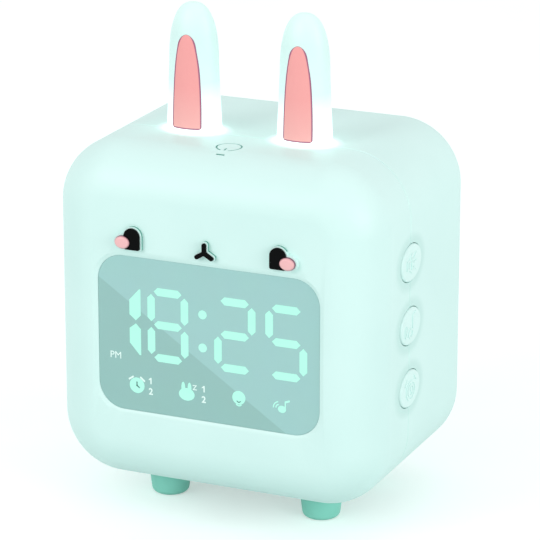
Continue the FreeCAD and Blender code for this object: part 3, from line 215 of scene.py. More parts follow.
def face_shade(tree, parts, across, base):
    """The low walls of the raised face fall into a teal shade with a pale rim on top. The
    cheeks' own walls are left out of it."""
    climb = {"Value": parts["Y"], "From Min": FRONT_FACE, "From Max": FRONT_FACE - BOSS_RISE}
    rise = add(tree, "ShaderNodeMapRange", None, climb)
    stops = [(0.02, grey(0)), (0.08, grey(1)), (0.55, grey(0.85)), (0.8, grey(0))]
    walls = add(tree, "ShaderNodeValToRGB", {"stops": stops}, {"Fac": rise})
    upright = add(tree, "ShaderNodeCombineXYZ", None, {"X": across, "Z": parts["Z"]})
    cheek = Vector((CHEEK_MIDDLE.x, 0, CHEEK_MIDDLE.z))
    gap = add(tree, "ShaderNodeVectorMath", {"operation": "DISTANCE"}, {0: upright, 1: cheek})
    ring = {"Value": gap.outputs["Value"], "From Min": CHEEK_CLEAR, "From Max": CHEEK_CLEAR + 0.4 * MM}
    clear = add(tree, "ShaderNodeMapRange", None, ring)
    amount = add(tree, "ShaderNodeMath", {"operation": "MULTIPLY"}, {0: walls, 1: clear})
    mix = {"Factor": amount, "A": base, "B": colour("2F8A78")}
    return add(tree, "ShaderNodeMix", {"data_type": "RGBA"}, mix).outputs["Result"]


def touch_mark_shade(tree, parts, base):
    """The engraved lines on top are painted darker than the wall they are cut into, as shade in
    the grooves. How deep a point lies is told from the top's own bend, which starts just ahead of the
    mark."""
    ahead_of_bend = {
        "Value": parts["Y"],
        "From Min": TOP_BEND,
        "From Max": FRONT_FACE,
        "To Max": TOP_BEND - FRONT_FACE,
    }
    ahead = add(tree, "ShaderNodeMapRange", None, ahead_of_bend)
    fall = add(tree, "ShaderNodeMath", {"operation": "POWER"}, {0: ahead, 1: 2.0})
    straighten = {0: fall, 1: TOP_FALL, 2: parts["Z"]}
    level = add(tree, "ShaderNodeMath", {"operation": "MULTIPLY_ADD"}, straighten)
    depth = {
        "Value": level,
        "From Min": SHELL_HIGH.z - 0.05 * MM,
        "From Max": SHELL_HIGH.z - 0.14 * MM,
    }
    sunk = add(tree, "ShaderNodeMapRange", None, depth)
    flat = add(tree, "ShaderNodeCombineXYZ", None, {"X": parts["X"], "Y": parts["Y"]})
    mark = Vector((0, FRONT_FACE + TOUCH_BACK, 0))
    away = add(tree, "ShaderNodeVectorMath", {"operation": "DISTANCE"}, {0: flat, 1: mark})
    reach = {0: away.outputs["Value"], 1: TOUCH_REACH}
    near = add(tree, "ShaderNodeMath", {"operation": "LESS_THAN"}, reach)
    # Painted shade in the engraved grooves
    cut = add(tree, "ShaderNodeMath", {"operation": "MULTIPLY"}, {0: sunk, 1: near})
    mix = {"Factor": cut, "A": base, "B": colour("8CC4BA")}
    return add(tree, "ShaderNodeMix", {"data_type": "RGBA"}, mix).outputs["Result"]


def key_hollow_shade(tree, parts, across, base):
    """A soft shade on the side walls round each button, as a shallow hollow would give."""
    half_key = {"Value": parts["Y"], "From Min": KEY_MIDDLE.y, "From Max": KEY_MIDDLE.y + KEY_HALF.y}
    beside = add(tree, "ShaderNodeMapRange", {"clamp": False}, half_key)
    lift = add(tree, "ShaderNodeMath", {"operation": "SUBTRACT"}, {0: parts["Z"], 1: KEY_MIDDLE.z})
    span = {0: lift, 1: -KEY_PITCH / 2, 2: KEY_PITCH / 2}
    within = add(tree, "ShaderNodeMath", {"operation": "WRAP"}, span)
    above = add(tree, "ShaderNodeMath", {"operation": "DIVIDE"}, {0: within, 1: KEY_HALF.z})
    spot = add(tree, "ShaderNodeCombineXYZ", None, {"X": beside, "Y": above})
    away = add(tree, "ShaderNodeVectorMath", {"operation": "LENGTH"}, {0: spot})
    fade = {"Value": away.outputs["Value"], "From Min": 1.4, "From Max": 1.0, "To Max": 0.55}
    shade = add(tree, "ShaderNodeMapRange", {"interpolation_type": "SMOOTHSTEP"}, fade)
    row = {0: lift, 1: 0.0, 2: 1.5 * KEY_PITCH}
    in_row = add(tree, "ShaderNodeMath", {"operation": "COMPARE"}, row)
    wall = {0: across, 1: SHELL_HIGH.x - 0.3 * MM}
    on_side = add(tree, "ShaderNodeMath", {"operation": "GREATER_THAN"}, wall)
    here = add(tree, "ShaderNodeMath", {"operation": "MULTIPLY"}, {0: in_row, 1: on_side})
    amount = add(tree, "ShaderNodeMath", {"operation": "MULTIPLY"}, {0: shade, 1: here})
    mix = {"Factor": amount, "A": base, "B": colour("BDE3DC")}
    return add(tree, "ShaderNodeMix", {"data_type": "RGBA"}, mix).outputs["Result"]


def painted_ear_glow(tree, parts, across):
    """How strongly a glow is painted on the top wall round the ears, standing in for the light of the
    lamps under them.
    """
    to_side = {"Value": across, "From Min": EAR_MIDDLE.x, "From Max": EAR_MIDDLE.x + EAR_HALF.x}
    off_x = add(tree, "ShaderNodeMapRange", {"clamp": False}, to_side)
    to_back = {"Value": parts["Y"], "From Min": EAR_MIDDLE.y, "From Max": EAR_MIDDLE.y + EAR_HALF.y}
    off_y = add(tree, "ShaderNodeMapRange", {"clamp": False}, to_back)
    spot = add(tree, "ShaderNodeCombineXYZ", None, {"X": off_x, "Y": off_y})
    away = add(tree, "ShaderNodeVectorMath", {"operation": "LENGTH"}, {0: spot})
    fade = {"Value": away.outputs["Value"], "From Min": 1.55, "From Max": 0.85}
    spread = add(tree, "ShaderNodeMapRange", {"interpolation_type": "SMOOTHERSTEP"}, fade)
    top = {
        "Value": parts["Z"],
        "From Min": SHELL_HIGH.z - 4 * MM,
        "From Max": SHELL_HIGH.z - 0.5 * MM,
        "To Max": 0.45,
    }
    on_top = add(tree, "ShaderNodeMapRange", None, top)
    return add(tree, "ShaderNodeMath", {"operation": "MULTIPLY"}, {0: spread, 1: on_top})


def shell_plastic():
    """Mint ABS, moulded with a fine grain. Shade is painted on the low walls of the raised face,
    in the engraved lines on top and round the buttons, and a glow is painted round the ears."""
    made, tree = new_material("mint moulded ABS")
    place, look = satin(tree, "D9F7F2", "D5F4EF", 0.45, 0.35, 0.02)
    parts = add(tree, "ShaderNodeSeparateXYZ", None, {"Vector": place}).outputs
    across = add(tree, "ShaderNodeMath", {"operation": "ABSOLUTE"}, {0: parts["X"]})
    look["Base Color"] = face_shade(tree, parts, across, look["Base Color"])
    look["Base Color"] = touch_mark_shade(tree, parts, look["Base Color"])
    look["Base Color"] = key_hollow_shade(tree, parts, across, look["Base Color"])
    # Painted glow round the ears, standing in for the ear lamps' light on the shell
    look["Emission Color"] = grey(1)
    look["Emission Strength"] = painted_ear_glow(tree, parts, across)
    surface(tree, look)
    return made


def tinted_window():
    """Clear acrylic with a grey-green print behind it. A painted reflection lies over the print: a
    lighter tone above a slant and a darker one below it, standing in for a diagonal gleam. The face is
    polished."""
    made, tree = new_material("back-printed acrylic")
    place = add(tree, "ShaderNodeTexCoord").outputs["Object"]
    parts = add(tree, "ShaderNodeSeparateXYZ", None, {"Vector": place}).outputs
    # Painted reflection: lighter above the slant, darker below it
    tilt = {0: parts["X"], 1: GLEAM_SLOPE, 2: parts["Z"]}
    rise = add(tree, "ShaderNodeMath", {"operation": "MULTIPLY_ADD"}, tilt)
    edge = WINDOW_HIGH.z - GLEAM_DROP + GLEAM_SLOPE * WINDOW_LOW.x
    step = {"Value": rise, "From Min": edge - 0.1 * MM, "From Max": edge + 0.1 * MM}
    side = add(tree, "ShaderNodeMapRange", None, step)
    stops = [(0.0, colour("9BC5C0")), (1.0, colour("A6D1CE"))]
    tone = add(tree, "ShaderNodeValToRGB", {"stops": stops}, {"Fac": side})
    mottle = {"Vector": place, "Scale": 1 / (8 * MM), "Detail": 2.0}
    speck = add(tree, "ShaderNodeTexNoise", None, mottle).outputs["Color"]
    darken = {"data_type": "RGBA", "blend_type": "MULTIPLY"}
    soft = add(tree, "ShaderNodeMix", darken, {"Factor": 0.04, "A": tone, "B": speck})
    look = {"Base Color": soft.outputs["Result"], "Roughness": 0.32, "IOR": 1.49}
    look["Specular IOR Level"] = 0.25
    surface(tree, look)
    return made


def lit_plastic(name, base, glow):
    """A milky light guide with lamps behind it: it shines evenly, a touch less at one side."""
    made, tree = new_material(name)
    place = add(tree, "ShaderNodeTexCoord").outputs["Object"]
    drift = add(tree, "ShaderNodeTexNoise", None, {"Vector": place, "Scale": 1 / (5 * MM)})
    stops = [(0.3, colour(base)), (0.8, colour(glow))]
    tone = add(tree, "ShaderNodeValToRGB", {"stops": stops}, {"Fac": drift})
    look = {"Base Color": (0.02, 0.03, 0.03, 1), "Roughness": 0.6, "Specular IOR Level": 0.0}
    look["Emission Color"] = tone
    look["Emission Strength"] = 1.0
    surface(tree, look)
    return made


def glowing_ear():
    """Milky polypropylene with lamps at its root: white and bright low down, and a pale,
    even mint further up, where the light has spread through the wall."""
    made, tree = new_material("milky polypropylene, lit")
    place, look = satin(tree, "D5F2ED", "CFEFE9", 0.42, 0.4, 0.02)
    parts = add(tree, "ShaderNodeSeparateXYZ", None, {"Vector": place}).outputs
    climb = {"Value": parts["Z"], "From Min": SHELL_HIGH.z, "From Max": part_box("ear_left")[1].z}
    height = add(tree, "ShaderNodeMapRange", None, climb)
    stops = [(0.0, grey(1)), (0.12, grey(0.7)), (0.4, grey(0.12)), (0.75, grey(0.07)), (1.0, grey(0.14))]
    look["Emission Color"] = colour("F2FFFD")
    look["Emission Strength"] = add(tree, "ShaderNodeValToRGB", {"stops": stops}, {"Fac": height})
    surface(tree, look)
    return made


def inner_ear_pink():
    """Pink ABS with the light of the lamps below it painted in as a paler tone near its foot,
    and a plum line where it meets the ear. The line follows the inlay's arch: half its width
    times the cube root of one less the height squared."""
    made, tree = new_material("pink moulded ABS, lit from below")
    place, look = satin(tree, "F7A6A3", "F5A09F", 0.45, 0.4, 0.02)
    parts = add(tree, "ShaderNodeSeparateXYZ", None, {"Vector": place}).outputs
    low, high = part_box("inner_ear_right")
    half = (high.x - low.x) / 2
    # Painted lamp light: paler towards the foot of the inlay
    climb = {"Value": parts["Z"], "From Min": low.z, "From Max": high.z}
    height = add(tree, "ShaderNodeMapRange", None, climb)
    stops = [(0.0, grey(0.6)), (0.45, grey(0))]
    lamp_light_painted = add(tree, "ShaderNodeValToRGB", {"stops": stops}, {"Fac": height})
    paler = {"Factor": lamp_light_painted, "A": look["Base Color"], "B": colour("FBC0BA")}
    body = add(tree, "ShaderNodeMix", {"data_type": "RGBA"}, paler).outputs["Result"]
    square = add(tree, "ShaderNodeMath", {"operation": "POWER"}, {0: height, 1: 2.0})
    left = add(tree, "ShaderNodeMath", {"operation": "SUBTRACT"}, {0: 1.0, 1: square})
    root = add(tree, "ShaderNodeMath", {"operation": "POWER"}, {0: left, 1: 1 / 3})
    across = add(tree, "ShaderNodeMath", {"operation": "ABSOLUTE"}, {0: parts["X"]})
    centred = {0: across, 1: (low.x + high.x) / 2}
    off = add(tree, "ShaderNodeMath", {"operation": "SUBTRACT"}, centred)
    reach = add(tree, "ShaderNodeMath", {"operation": "ABSOLUTE"}, {0: off})
    inside = {0: root, 1: -half, 2: reach}
    inset = add(tree, "ShaderNodeMath", {"operation": "MULTIPLY_ADD"}, inside)
    foot = add(tree, "ShaderNodeMath", {"operation": "SUBTRACT"}, {0: low.z, 1: parts["Z"]})
    nearest = add(tree, "ShaderNodeMath", {"operation": "MAXIMUM"}, {0: inset, 1: foot})
    rim = {"Value": nearest, "From Min": -0.42 * MM, "From Max": -0.18 * MM}
    line = add(tree, "ShaderNodeMapRange", None, rim)
    plum = {"Factor": line, "A": body, "B": colour("A0567A")}
    look["Base Color"] = add(tree, "ShaderNodeMix", {"data_type": "RGBA"}, plum).outputs["Result"]
    surface(tree, look)
    return made


def cheek_pink():
    """Pink ABS peg: its face is a soft rose, and its side walls are painted plum as shade."""
    made, tree = new_material("pink moulded ABS")
    place, look = satin(tree, "F6BEBF", "F3B6B8", 0.4, 0.35, 0.01)
    parts = add(tree, "ShaderNodeSeparateXYZ", None, {"Vector": place}).outputs
    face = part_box("cheek_right")[0].y
    # Painted shade: the side walls behind the face turn plum
    back = {"Value": parts["Y"], "From Min": face + 0.05 * MM, "From Max": face + 0.55 * MM}
    depth = add(tree, "ShaderNodeMapRange", None, back)
    stops = [(0.0, grey(0)), (0.45, grey(0.25)), (1.0, grey(1))]
    painted_side_shade = add(tree, "ShaderNodeValToRGB", {"stops": stops}, {"Fac": depth})
    plum = {"Factor": painted_side_shade, "A": look["Base Color"], "B": colour("7A3A58")}
    look["Base Color"] = add(tree, "ShaderNodeMix", {"data_type": "RGBA"}, plum).outputs["Result"]
    surface(tree, look)
    return made


def metal(name, base, shade, roughness=0.32, stretch=(1, 1, 1)):
    """Plated or drawn metal: fine streaks along the way it was worked break up the shine."""
    made, tree = new_material(name)
    place = add(tree, "ShaderNodeTexCoord").outputs["Object"]
    drawn = add(tree, "ShaderNodeMapping", None, {"Vector": place, "Scale": stretch})
    fibre = {"Vector": drawn, "Scale": 1 / (0.5 * MM), "Detail": 4.0}
    streak = add(tree, "ShaderNodeTexNoise", None, fibre)
    stops = [(0.3, colour(shade)), (0.7, colour(base))]
    tone = add(tree, "ShaderNodeValToRGB", {"stops": stops}, {"Fac": streak})
    spread = {"Value": streak, "To Min": roughness - 0.08, "To Max": roughness + 0.1}
    gloss = add(tree, "ShaderNodeMapRange", None, spread)
    surface(tree, {"Base Color": tone, "Metallic": 1.0, "Roughness": gloss})
    return made


def laminate():
    """Fibreglass board under green solder mask, with the glass weave just showing."""
    made, tree = new_material("solder-masked laminate")
    place = add(tree, "ShaderNodeTexCoord").outputs["Object"]
    bands = {"wave_type": "BANDS", "bands_direction": "DIAGONAL"}
    cloth = {"Vector": place, "Scale": 1 / (3.2 * MM), "Distortion": 0.4}
    weave = add(tree, "ShaderNodeTexWave", bands, cloth).outputs["Fac"]
    stops = [(0.2, colour("0F4A2B")), (0.8, colour("16603A"))]
    tone = add(tree, "ShaderNodeValToRGB", {"stops": stops}, {"Fac": weave})
    surface(tree, {"Base Color": tone, "Roughness": 0.35, "Coat Weight": 0.4})
    return made


def make_materials():
    """One finish for each of the record's slots, and a few for pieces made here."""
    return {
        "mint_shell": shell_plastic(),
        "mint_button": moulding("mint moulded ABS, polished tool", "DCF9F4", "D8F6F1", 0.36),
        "smoked_window": tinted_window(),
        "adhesive": moulding("black foam tape", "1B1B1D", "141416", 0.9, 0.6, 0.1),
        "lit_diffuser": lit_plastic("milky light guide, lit", "B8FFEB", "BDFFEE"),
        "lit_white": lit_plastic("white light guide, lit", "E4FFF8", "E9FFFA"),
        "mask_plastic": moulding("grey-green styrene", "8FB0AB", "86A7A2", 0.6),
        "black_ink": moulding("gloss black enamel", "030304", "060606", 0.35, 0.5, 0.004, 0.06),
        "pink_plastic": cheek_pink(),
        "inner_ear": inner_ear_pink(),
        "ear_diffuser": glowing_ear(),
        "foot_rubber": moulding("dark mint soft-touch rubber", "93E0CF", "8AD9C7", 0.55, 0.3, 0.03, 0.4),
        "circuit_board": laminate(),
        "chip_black": moulding("black epoxy moulding", "17171A", "101013", 0.55, 0.2, 0.02),
        "led_white": moulding("clear lamp resin", "F3F1DC", "E9E6CB", 0.2, 0.4, 0.01),
        "white_nylon": moulding("white nylon", "E8E8E2", "DEDED7", 0.5),
        "steel_screw": metal("zinc-plated steel", "B9BBC0", "8E9096"),
        "copper_foil": metal("copper foil", "D08A63", "B87450", 0.3),
        "cell_wrap": moulding("blue heat-shrink sleeve", "3C6EA5", "35639A", 0.25, 0.8, 0.02),
        "socket_steel": metal("plated steel, drawn", "C6C7CA", "9EA0A5", 0.28, (1, 0.1, 1)),
        "speaker_black": moulding("black stove enamel on steel", "1C1C1E", "141416", 0.4),
        "paper_cone": moulding("pressed black paper", "222224", "18181A", 0.9, 0.5, 0.12),
        "foam_ring": moulding("closed-cell foam", "2B2B2D", "202022", 0.95, 0.7, 0.15),
        "plug_rubber": moulding("mint silicone rubber", "CDEFE9", "C5E9E2", 0.6, 0.3, 0.02),
        "magnet_ferrite": moulding("sintered ferrite", "2A2A2D", "1F1F22", 0.7, 0.6, 0.08),
        "lead_cover": moulding("red flexible cover", "A8201C", "961A17", 0.4),
        "dark_print": moulding("grey-green print", "6A9B94", "62938C", 0.5),
    }


# Pieces


def finish_piece(piece, material, body=BODY, replaced=()):
    """Give a piece its finish and the body that it rides on."""
    piece.data.materials.clear()
    piece.data.materials.append(FINISH[material])
    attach(piece, body)
    if replaced:
        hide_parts(*replaced)
    return piece


def piece_from(mesh_builder, name):
    """An object at the origin, from a bmesh."""
    data = bpy.data.meshes.new(name)
    bmesh.ops.recalc_face_normals(mesh_builder, faces=mesh_builder.faces)
    mesh_builder.to_mesh(data)
    mesh_builder.free()
    piece = bpy.data.objects.new(name, data)
    bpy.context.scene.collection.objects.link(piece)
    return piece


def smooth(piece, angle=30):
    """Soft shading over rounded faces, with edges past the angle kept crisp."""
    limit = math.radians(angle)
    for polygon in piece.data.polygons:
        polygon.use_smooth = True
    builder = bmesh.new()
    builder.from_mesh(piece.data)
    for edge in builder.edges:
        sharp = len(edge.link_faces) != 2 or edge.calc_face_angle(math.pi) > limit
        edge.smooth = not sharp
    builder.to_mesh(piece.data)
    builder.free()
    weigh = piece.modifiers.new("face-weighted shading", "WEIGHTED_NORMAL")
    weigh.keep_sharp = True
    weigh.weight = 100
    return piece


def dressed_copy(node, material, angle=30):
    """A solid's own surface, its loose triangles joined so that rounded faces shade softly."""
    builder = bmesh.new()
    builder.from_mesh(frame["nodes"][node].data)
    bmesh.ops.remove_doubles(builder, verts=builder.verts, dist=1e-7)
    data = bpy.data.meshes.new(node + "_skin")
    builder.to_mesh(data)
    builder.free()
    piece = bpy.data.objects.new(node + "_skin", data)
    bpy.context.scene.collection.objects.link(piece)
    smooth(piece, angle)
    return finish_piece(piece, material, BODY_OF[node], (node,))


def plate_piece(name, outlines, thick, material, basis, bevel=0.0):
    """Flat outlines in metres, raised to a thickness; basis takes them to their place."""
    builder = bmesh.new()
    for points in outlines:
        corners = [builder.verts.new((u, v, 0)) for u, v in points]
        face = builder.faces.new(corners)
        grown = bmesh.ops.extrude_face_region(builder, geom=[face])
        lifted = [g for g in grown["geom"] if isinstance(g, bmesh.types.BMVert)]
        bmesh.ops.translate(builder, verts=lifted, vec=(0, 0, thick))
    if bevel:
        top = [e for e in builder.edges if all(v.co.z > thick * 0.5 for v in e.verts)]
        bmesh.ops.bevel(
            builder, geom=top, offset=bevel, affect="EDGES", segments=2, profile=0.5, material=-1
        )
    bmesh.ops.transform(builder, matrix=basis, verts=builder.verts)
    piece = piece_from(builder, name)
    smooth(piece, 25)
    return finish_piece(piece, material)


def front_basis(x, y, z):
    """Outline right and up become the clock's right and up; it rises towards the viewer."""
    turned = Matrix(((1, 0, 0), (0, 0, -1), (0, 1, 0))).to_4x4()
    return Matrix.Translation((x, y, z)) @ turned


def arc_points(centre, radius, start, end, steps=24):
    for step in range(steps + 1):
        angle = math.radians(start + (end - start) * step / steps)
        yield (centre[0] + radius * math.cos(angle), centre[1] + radius * math.sin(angle))


def disc(centre, radius, steps=32):
    return list(arc_points(centre, radius, 0, 360 - 360 / steps, steps - 1))


def ellipse(centre, wide, tall, steps=36):
    return [(centre[0] + x * wide, centre[1] + y * tall) for x, y in disc((0, 0), 1, steps)]


def stroke(start, end, width):
    """A straight bar between two points."""
    a, b = Vector(start), Vector(end)
    across = (b - a).normalized().orthogonal() * width / 2
    return [tuple(a + across), tuple(a - across), tuple(b - across), tuple(b + across)]


def bow(centre, radius, start, end, width):
    """A curved bar, part of a ring."""
    outer = list(arc_points(centre, radius + width / 2, start, end, 16))
    inner = list(arc_points(centre, radius - width / 2, end, start, 16))
    return outer + inner


def millimetres(outlines):
    return [[(u * MM, v * MM) for u, v in points] for points in outlines]


# Buttons


def make_buttons():
    """The six keys of the side walls."""
    for word in ("volume", "melody", "alarm", "clock_set", "plus", "minus"):
        dressed_copy(word + "_button", "mint_button")


# Display


# The bars are lettered clockwise from the top one, and g is the middle one.
BAR_PLACES = {
    "a": (0, 1, False),
    "b": (1, 0.5, True),
    "c": (1, -0.5, True),
    "d": (0, -1, False),
    "e": (-1, -0.5, True),
    "f": (-1, 0.5, True),
    "g": (0, 0, False),
}

# The lit bars of each digit by its middle, in millimetres from the window's own
LIT_DIGITS = {-10.8: "abcdefg", 7.35: "abged", 21.1: "afgcd"}
FIRST_DIGIT = -19.8
COLON = -1.35
BAR_PITCH = 8.6
DIGIT_WIDTH = 9.1
BAR_THICK = 2.05
UPRIGHT_BAR = 7.1
LEVEL_BAR = 7.6
COLON_DOT = 1.15
LETTER_THICK = 0.05 * MM


def hexagon(x, z, length, upright):
    """A bar of a digit: a strip with pointed ends."""
    half, side = length / 2, BAR_THICK / 2
    flat = [(-half, 0), (side - half, -side), (half - side, -side)]
    flat += [(half, 0), (half - side, side), (side - half, side)]
    return [(x + v, z + u) if upright else (x + u, z + v) for u, v in flat]


def lit_bars():
    """The bars that are lit for 18:25, in millimetres from the middle of their row."""
    bars = []
    for centre, letters in LIT_DIGITS.items():
        for letter in letters:
            column, level, upright = BAR_PLACES[letter]
            place = (centre + column * DIGIT_WIDTH / 2, level * BAR_PITCH)
            bars.append(hexagon(*place, UPRIGHT_BAR if upright else LEVEL_BAR, upright))
    half, tall, tip, gap = 1.55, 8.2, 1.4, 0.4
    slanted = [(-half, tip), (-half, tall - 3.0), (half - 0.4, tall), (half, tall), (half, tip), (0.2, 0)]
    for sign in (-1, 1):
        bars.append([(FIRST_DIGIT + u, sign * (gap + v)) for u, v in slanted])
        bars.append(disc((COLON, sign * BAR_PITCH / 2), COLON_DOT, 24))
    return bars


def flat_piece(name, shapes, x, z, material, layer=0):
    """Thin lit or dark shapes on the window's face, given in millimetres from one point."""
    thick = LETTER_THICK
    face = WINDOW_LOW.y - (0.002 * MM + layer * thick)
    basis = front_basis(x * MM, face, BODY_MIDDLE.z + z * MM)
    return plate_piece(name, millimetres(shapes), thick, material, basis)


def alarm_icon(x, z):
    bells = [stroke((-2.25, 1.35), (-0.95, 2.25), 0.45), stroke((0.9, 2.3), (2.2, 1.25), 0.45)]
    flat_piece("alarm_bells", bells, x, z, "lit_white")
    flat_piece("alarm_disc", [disc((0, 0), 2.05)], x, z, "lit_diffuser")
    hands = [stroke((0, 1.0), (0, -0.2), 0.34), stroke((-0.1, 0.05), (0.75, -0.6), 0.34)]
    flat_piece("alarm_hands", hands, x, z, "dark_print", 1)


def nap_icon(x, z):
    ears = [ellipse((-0.94, 1.7), 0.52, 1.5, 20), ellipse((0.78, 1.7), 0.52, 1.5, 20)]
    flat_piece("nap_ears", ears, x, z, "lit_diffuser")
    flat_piece("nap_head", [ellipse((0, 0), 2.15, 1.65)], x, z, "lit_diffuser")


def lamp_icon(x, z):
    flat_piece("lamp_globe", [disc((0, 0), 1.78)], x, z, "lit_diffuser")
    flat_piece("lamp_base", [bow((0, -1.25), 0.85, 215, 325, 0.32)], x, z, "lit_diffuser")
    notch = [stroke((-0.55, -0.85), (0, -1.25), 0.26), stroke((0, -1.25), (0.55, -0.85), 0.26)]
    flat_piece("lamp_notch", notch, x, z, "dark_print", 1)


def sound_icon(x, z):
    stem = [(0.72, 0.1), (1.05, 0.1), (1.05, 1.75), (2.05, 2.12), (2.15, 2.5), (1.95, 2.62), (0.72, 2.15)]
    waves = [bow((-0.75, 0.3), radius, 100, 185, 0.3) for radius in (0.85, 1.55)]
    flat_piece("sound_head", [ellipse((0, 0), 1.1, 0.92, 24)], x, z, "lit_diffuser")
    flat_piece("sound_stem", [stem] + waves, x, z, "lit_diffuser")


def text_piece(name, letters, tall, x, z, bold=0.0):
    """Plain letters or figures as a thin piece on the window's face."""
    data = bpy.data.curves.new(name, "FONT")
    data.body = letters
    data.size = tall * MM
    data.offset = bold * MM
    data.extrude = LETTER_THICK / 2
    data.align_x = "CENTER"
    data.align_y = "CENTER"
    drawn = bpy.data.objects.new(name, data)
    bpy.context.scene.collection.objects.link(drawn)
    bpy.context.view_layer.update()
    mesh = bpy.data.meshes.new_from_object(drawn)
    bpy.data.objects.remove(drawn)
    mesh.transform(front_basis(x * MM, WINDOW_LOW.y - 0.03 * MM, BODY_MIDDLE.z + z * MM))
    piece = bpy.data.objects.new(name, mesh)
    bpy.context.scene.collection.objects.link(piece)
    return finish_piece(piece, "lit_white")


def figure_one(name, x, z):
    """A plain 1 with a flag, as tall as the figure two under it."""
    foot = [(0.15, -0.83), (0.48, -0.83)]
    flag = [(0.48, 0.83), (0.22, 0.83), (-0.3, 0.42), (-0.3, 0.12), (0.15, 0.38)]
    flat_piece(name, [foot + flag], x, z, "lit_white")


def window_plate():
    """The display's front: a rounded rectangle with a fine polished edge."""
    half = (WINDOW_HIGH - WINDOW_LOW) / 2 + Vector((WINDOW_SEAM, 0, WINDOW_SEAM))
    centre = (WINDOW_HIGH + WINDOW_LOW) / 2
    radius = WINDOW_CORNER + WINDOW_SEAM
    corners = []
    for turn, (sx, sz) in enumerate(((1, 1), (-1, 1), (-1, -1), (1, -1))):
        hub = (sx * (half.x - radius), sz * (half.z - radius))
        corners += list(arc_points(hub, radius, 90 * turn, 90 * turn + 90, 16))
    thick = WINDOW_HIGH.y - WINDOW_LOW.y
    basis = front_basis(centre.x, WINDOW_HIGH.y, centre.z)
    finish = "smoked_window"
    piece = plate_piece("window_face", [corners], thick, finish, basis, bevel=0.2 * MM)
    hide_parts("display_window")


def make_display():
    window_plate()
    flat_piece("time_figures", lit_bars(), 0, 0.1, "lit_diffuser")
    text_piece("afternoon_letters", "PM", 2.55, -25.3, -9.4)
    alarm_icon(-19.5, -16.6)
    figure_one("alarm_one", -15.95, -14.95)
    text_piece("alarm_two", "2", 2.35, -15.7, -17.8, 0.06)
    nap_icon(-5.8, -17.0)
    text_piece("nap_letter", "Z", 1.8, -3.6, -15.0, 0.03)
    figure_one("nap_one", -1.35, -14.95)
    text_piece("nap_two", "2", 2.35, -1.15, -17.8, 0.06)
    lamp_icon(8.4, -15.8)
    sound_icon(20.0, -17.1)


# Body


def make_body():
    for node in ("front_shell", "rear_shell"):
        dressed_copy(node, "mint_shell")
    for side in ("left", "right"):
        dressed_copy("eye_" + side, "black_ink")
        dressed_copy("cheek_" + side, "pink_plastic")
        dressed_copy("ear_" + side, "ear_diffuser", angle=50)
        dressed_copy("inner_ear_" + side, "inner_ear")
    dressed_copy("nose", "black_ink")
    for end in ("front", "rear"):
        for side in ("left", "right"):
            dressed_copy(f"foot_{end}_{side}", "foot_rubber")
    dressed_copy("screw_plugs", "plug_rubber")
    dressed_copy("usb_socket", "socket_steel")


def dress_nodes():
    """Every solid that is carried over as it is gets its slot's finish."""
    for name, part in frame["nodes"].items():
        part.data.materials.clear()
        part.data.materials.append(FINISH[SLOT_OF[name]])


# Surroundings


def background_rays(tree):
    """One for rays that look at the background: the camera's own, and those that a glossy or
    a clear surface sends on, so that metal and glass show it too."""
    rays = add(tree, "ShaderNodeLightPath")
    seen = rays.outputs["Is Camera Ray"]
    for kind in ("Is Glossy Ray", "Is Transmission Ray"):
        pair = {0: seen, 1: rays.outputs[kind]}
        seen = add(tree, "ShaderNodeMath", {"operation": "MAXIMUM"}, pair).outputs[0]
    return seen


def make_world():
    world = bpy.data.worlds.new("studio")
    bpy.context.scene.world = world
    world.use_nodes = True
    tree = world.node_tree
    tree.nodes.clear()
    seen = background_rays(tree)
    pale = {"Color": (1.0, 0.985, 1.0, 1), "Strength": WORLD_FILL}
    fill = add(tree, "ShaderNodeBackground", None, pale)
    white = add(tree, "ShaderNodeBackground", None, {"Color": grey(1), "Strength": 1.0})
    both = add(tree, "ShaderNodeMixShader", None, {0: seen, 1: fill, 2: white})
    add(tree, "ShaderNodeOutputWorld", None, {"Surface": both})


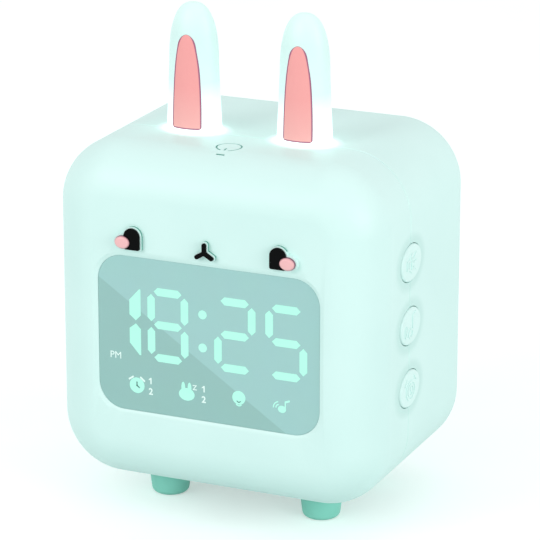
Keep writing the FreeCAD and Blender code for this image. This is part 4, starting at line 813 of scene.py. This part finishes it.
def make_floor():
    """A pale floor: white to the camera where it is fully lit, and it keeps the shadow."""
    builder = bmesh.new()
    bmesh.ops.create_grid(builder, x_segments=2, y_segments=2, size=3)
    floor = piece_from(builder, "floor")
    made, tree = new_material("pale floor")
    place = add(tree, "ShaderNodeTexCoord").outputs["Object"]
    seen = background_rays(tree)
    mottle = add(tree, "ShaderNodeTexNoise", None, {"Vector": place, "Scale": FLOOR_MOTTLE})
    stops = [(0.3, colour("D8E4E2")), (0.7, colour("DBE6E4"))]
    tone = add(tree, "ShaderNodeValToRGB", {"stops": stops}, {"Fac": mottle})
    paint = add(tree, "ShaderNodeBsdfDiffuse", None, {"Color": tone})
    glow = {"Color": (0.97, 1, 0.99, 1), "Strength": FLOOR_LIFT}
    lift = add(tree, "ShaderNodeEmission", None, glow)
    none = add(tree, "ShaderNodeEmission", None, {"Color": grey(0), "Strength": 0.0})
    extra = add(tree, "ShaderNodeMixShader", None, {0: seen, 1: none, 2: lift})
    both = add(tree, "ShaderNodeAddShader", None, {0: paint, 1: extra})
    add(tree, "ShaderNodeOutputMaterial", None, {"Surface": both})
    floor.data.materials.append(made)


def area_light(name, power, size, place):
    """A round, plain white lamp that looks at the clock."""
    data = bpy.data.lights.new(name, "AREA")
    data.shape = "DISK"
    data.size = size
    data.energy = power
    lamp = bpy.data.objects.new(name, data)
    bpy.context.scene.collection.objects.link(lamp)
    lamp.location = place
    way = LAMP_AIM - Vector(place)
    lamp.rotation_mode = "QUATERNION"
    lamp.rotation_quaternion = way.to_track_quat("-Z", "Y")


def make_lights():
    area_light("key", 7.0, 0.9, (-0.8, -1.3, 0.75))
    area_light("side", 6.0, 0.8, (1.3, -0.5, 0.45))
    area_light("overhead", 0.6, 0.8, (0, 0.3, 1.5))


SLOT_OF = {part["node"]: part["material_slot"] for part in frame["record"]["subparts"]}
BODY_OF = {node: body for body, nodes in frame["record"]["behaviour"]["bodies"].items() for node in nodes}
FINISH = make_materials()

dress_nodes()
make_body()
make_display()
make_buttons()
make_floor()
make_world()
make_lights()
make_camera()

scene = bpy.context.scene
scene.view_settings.view_transform = "Standard"
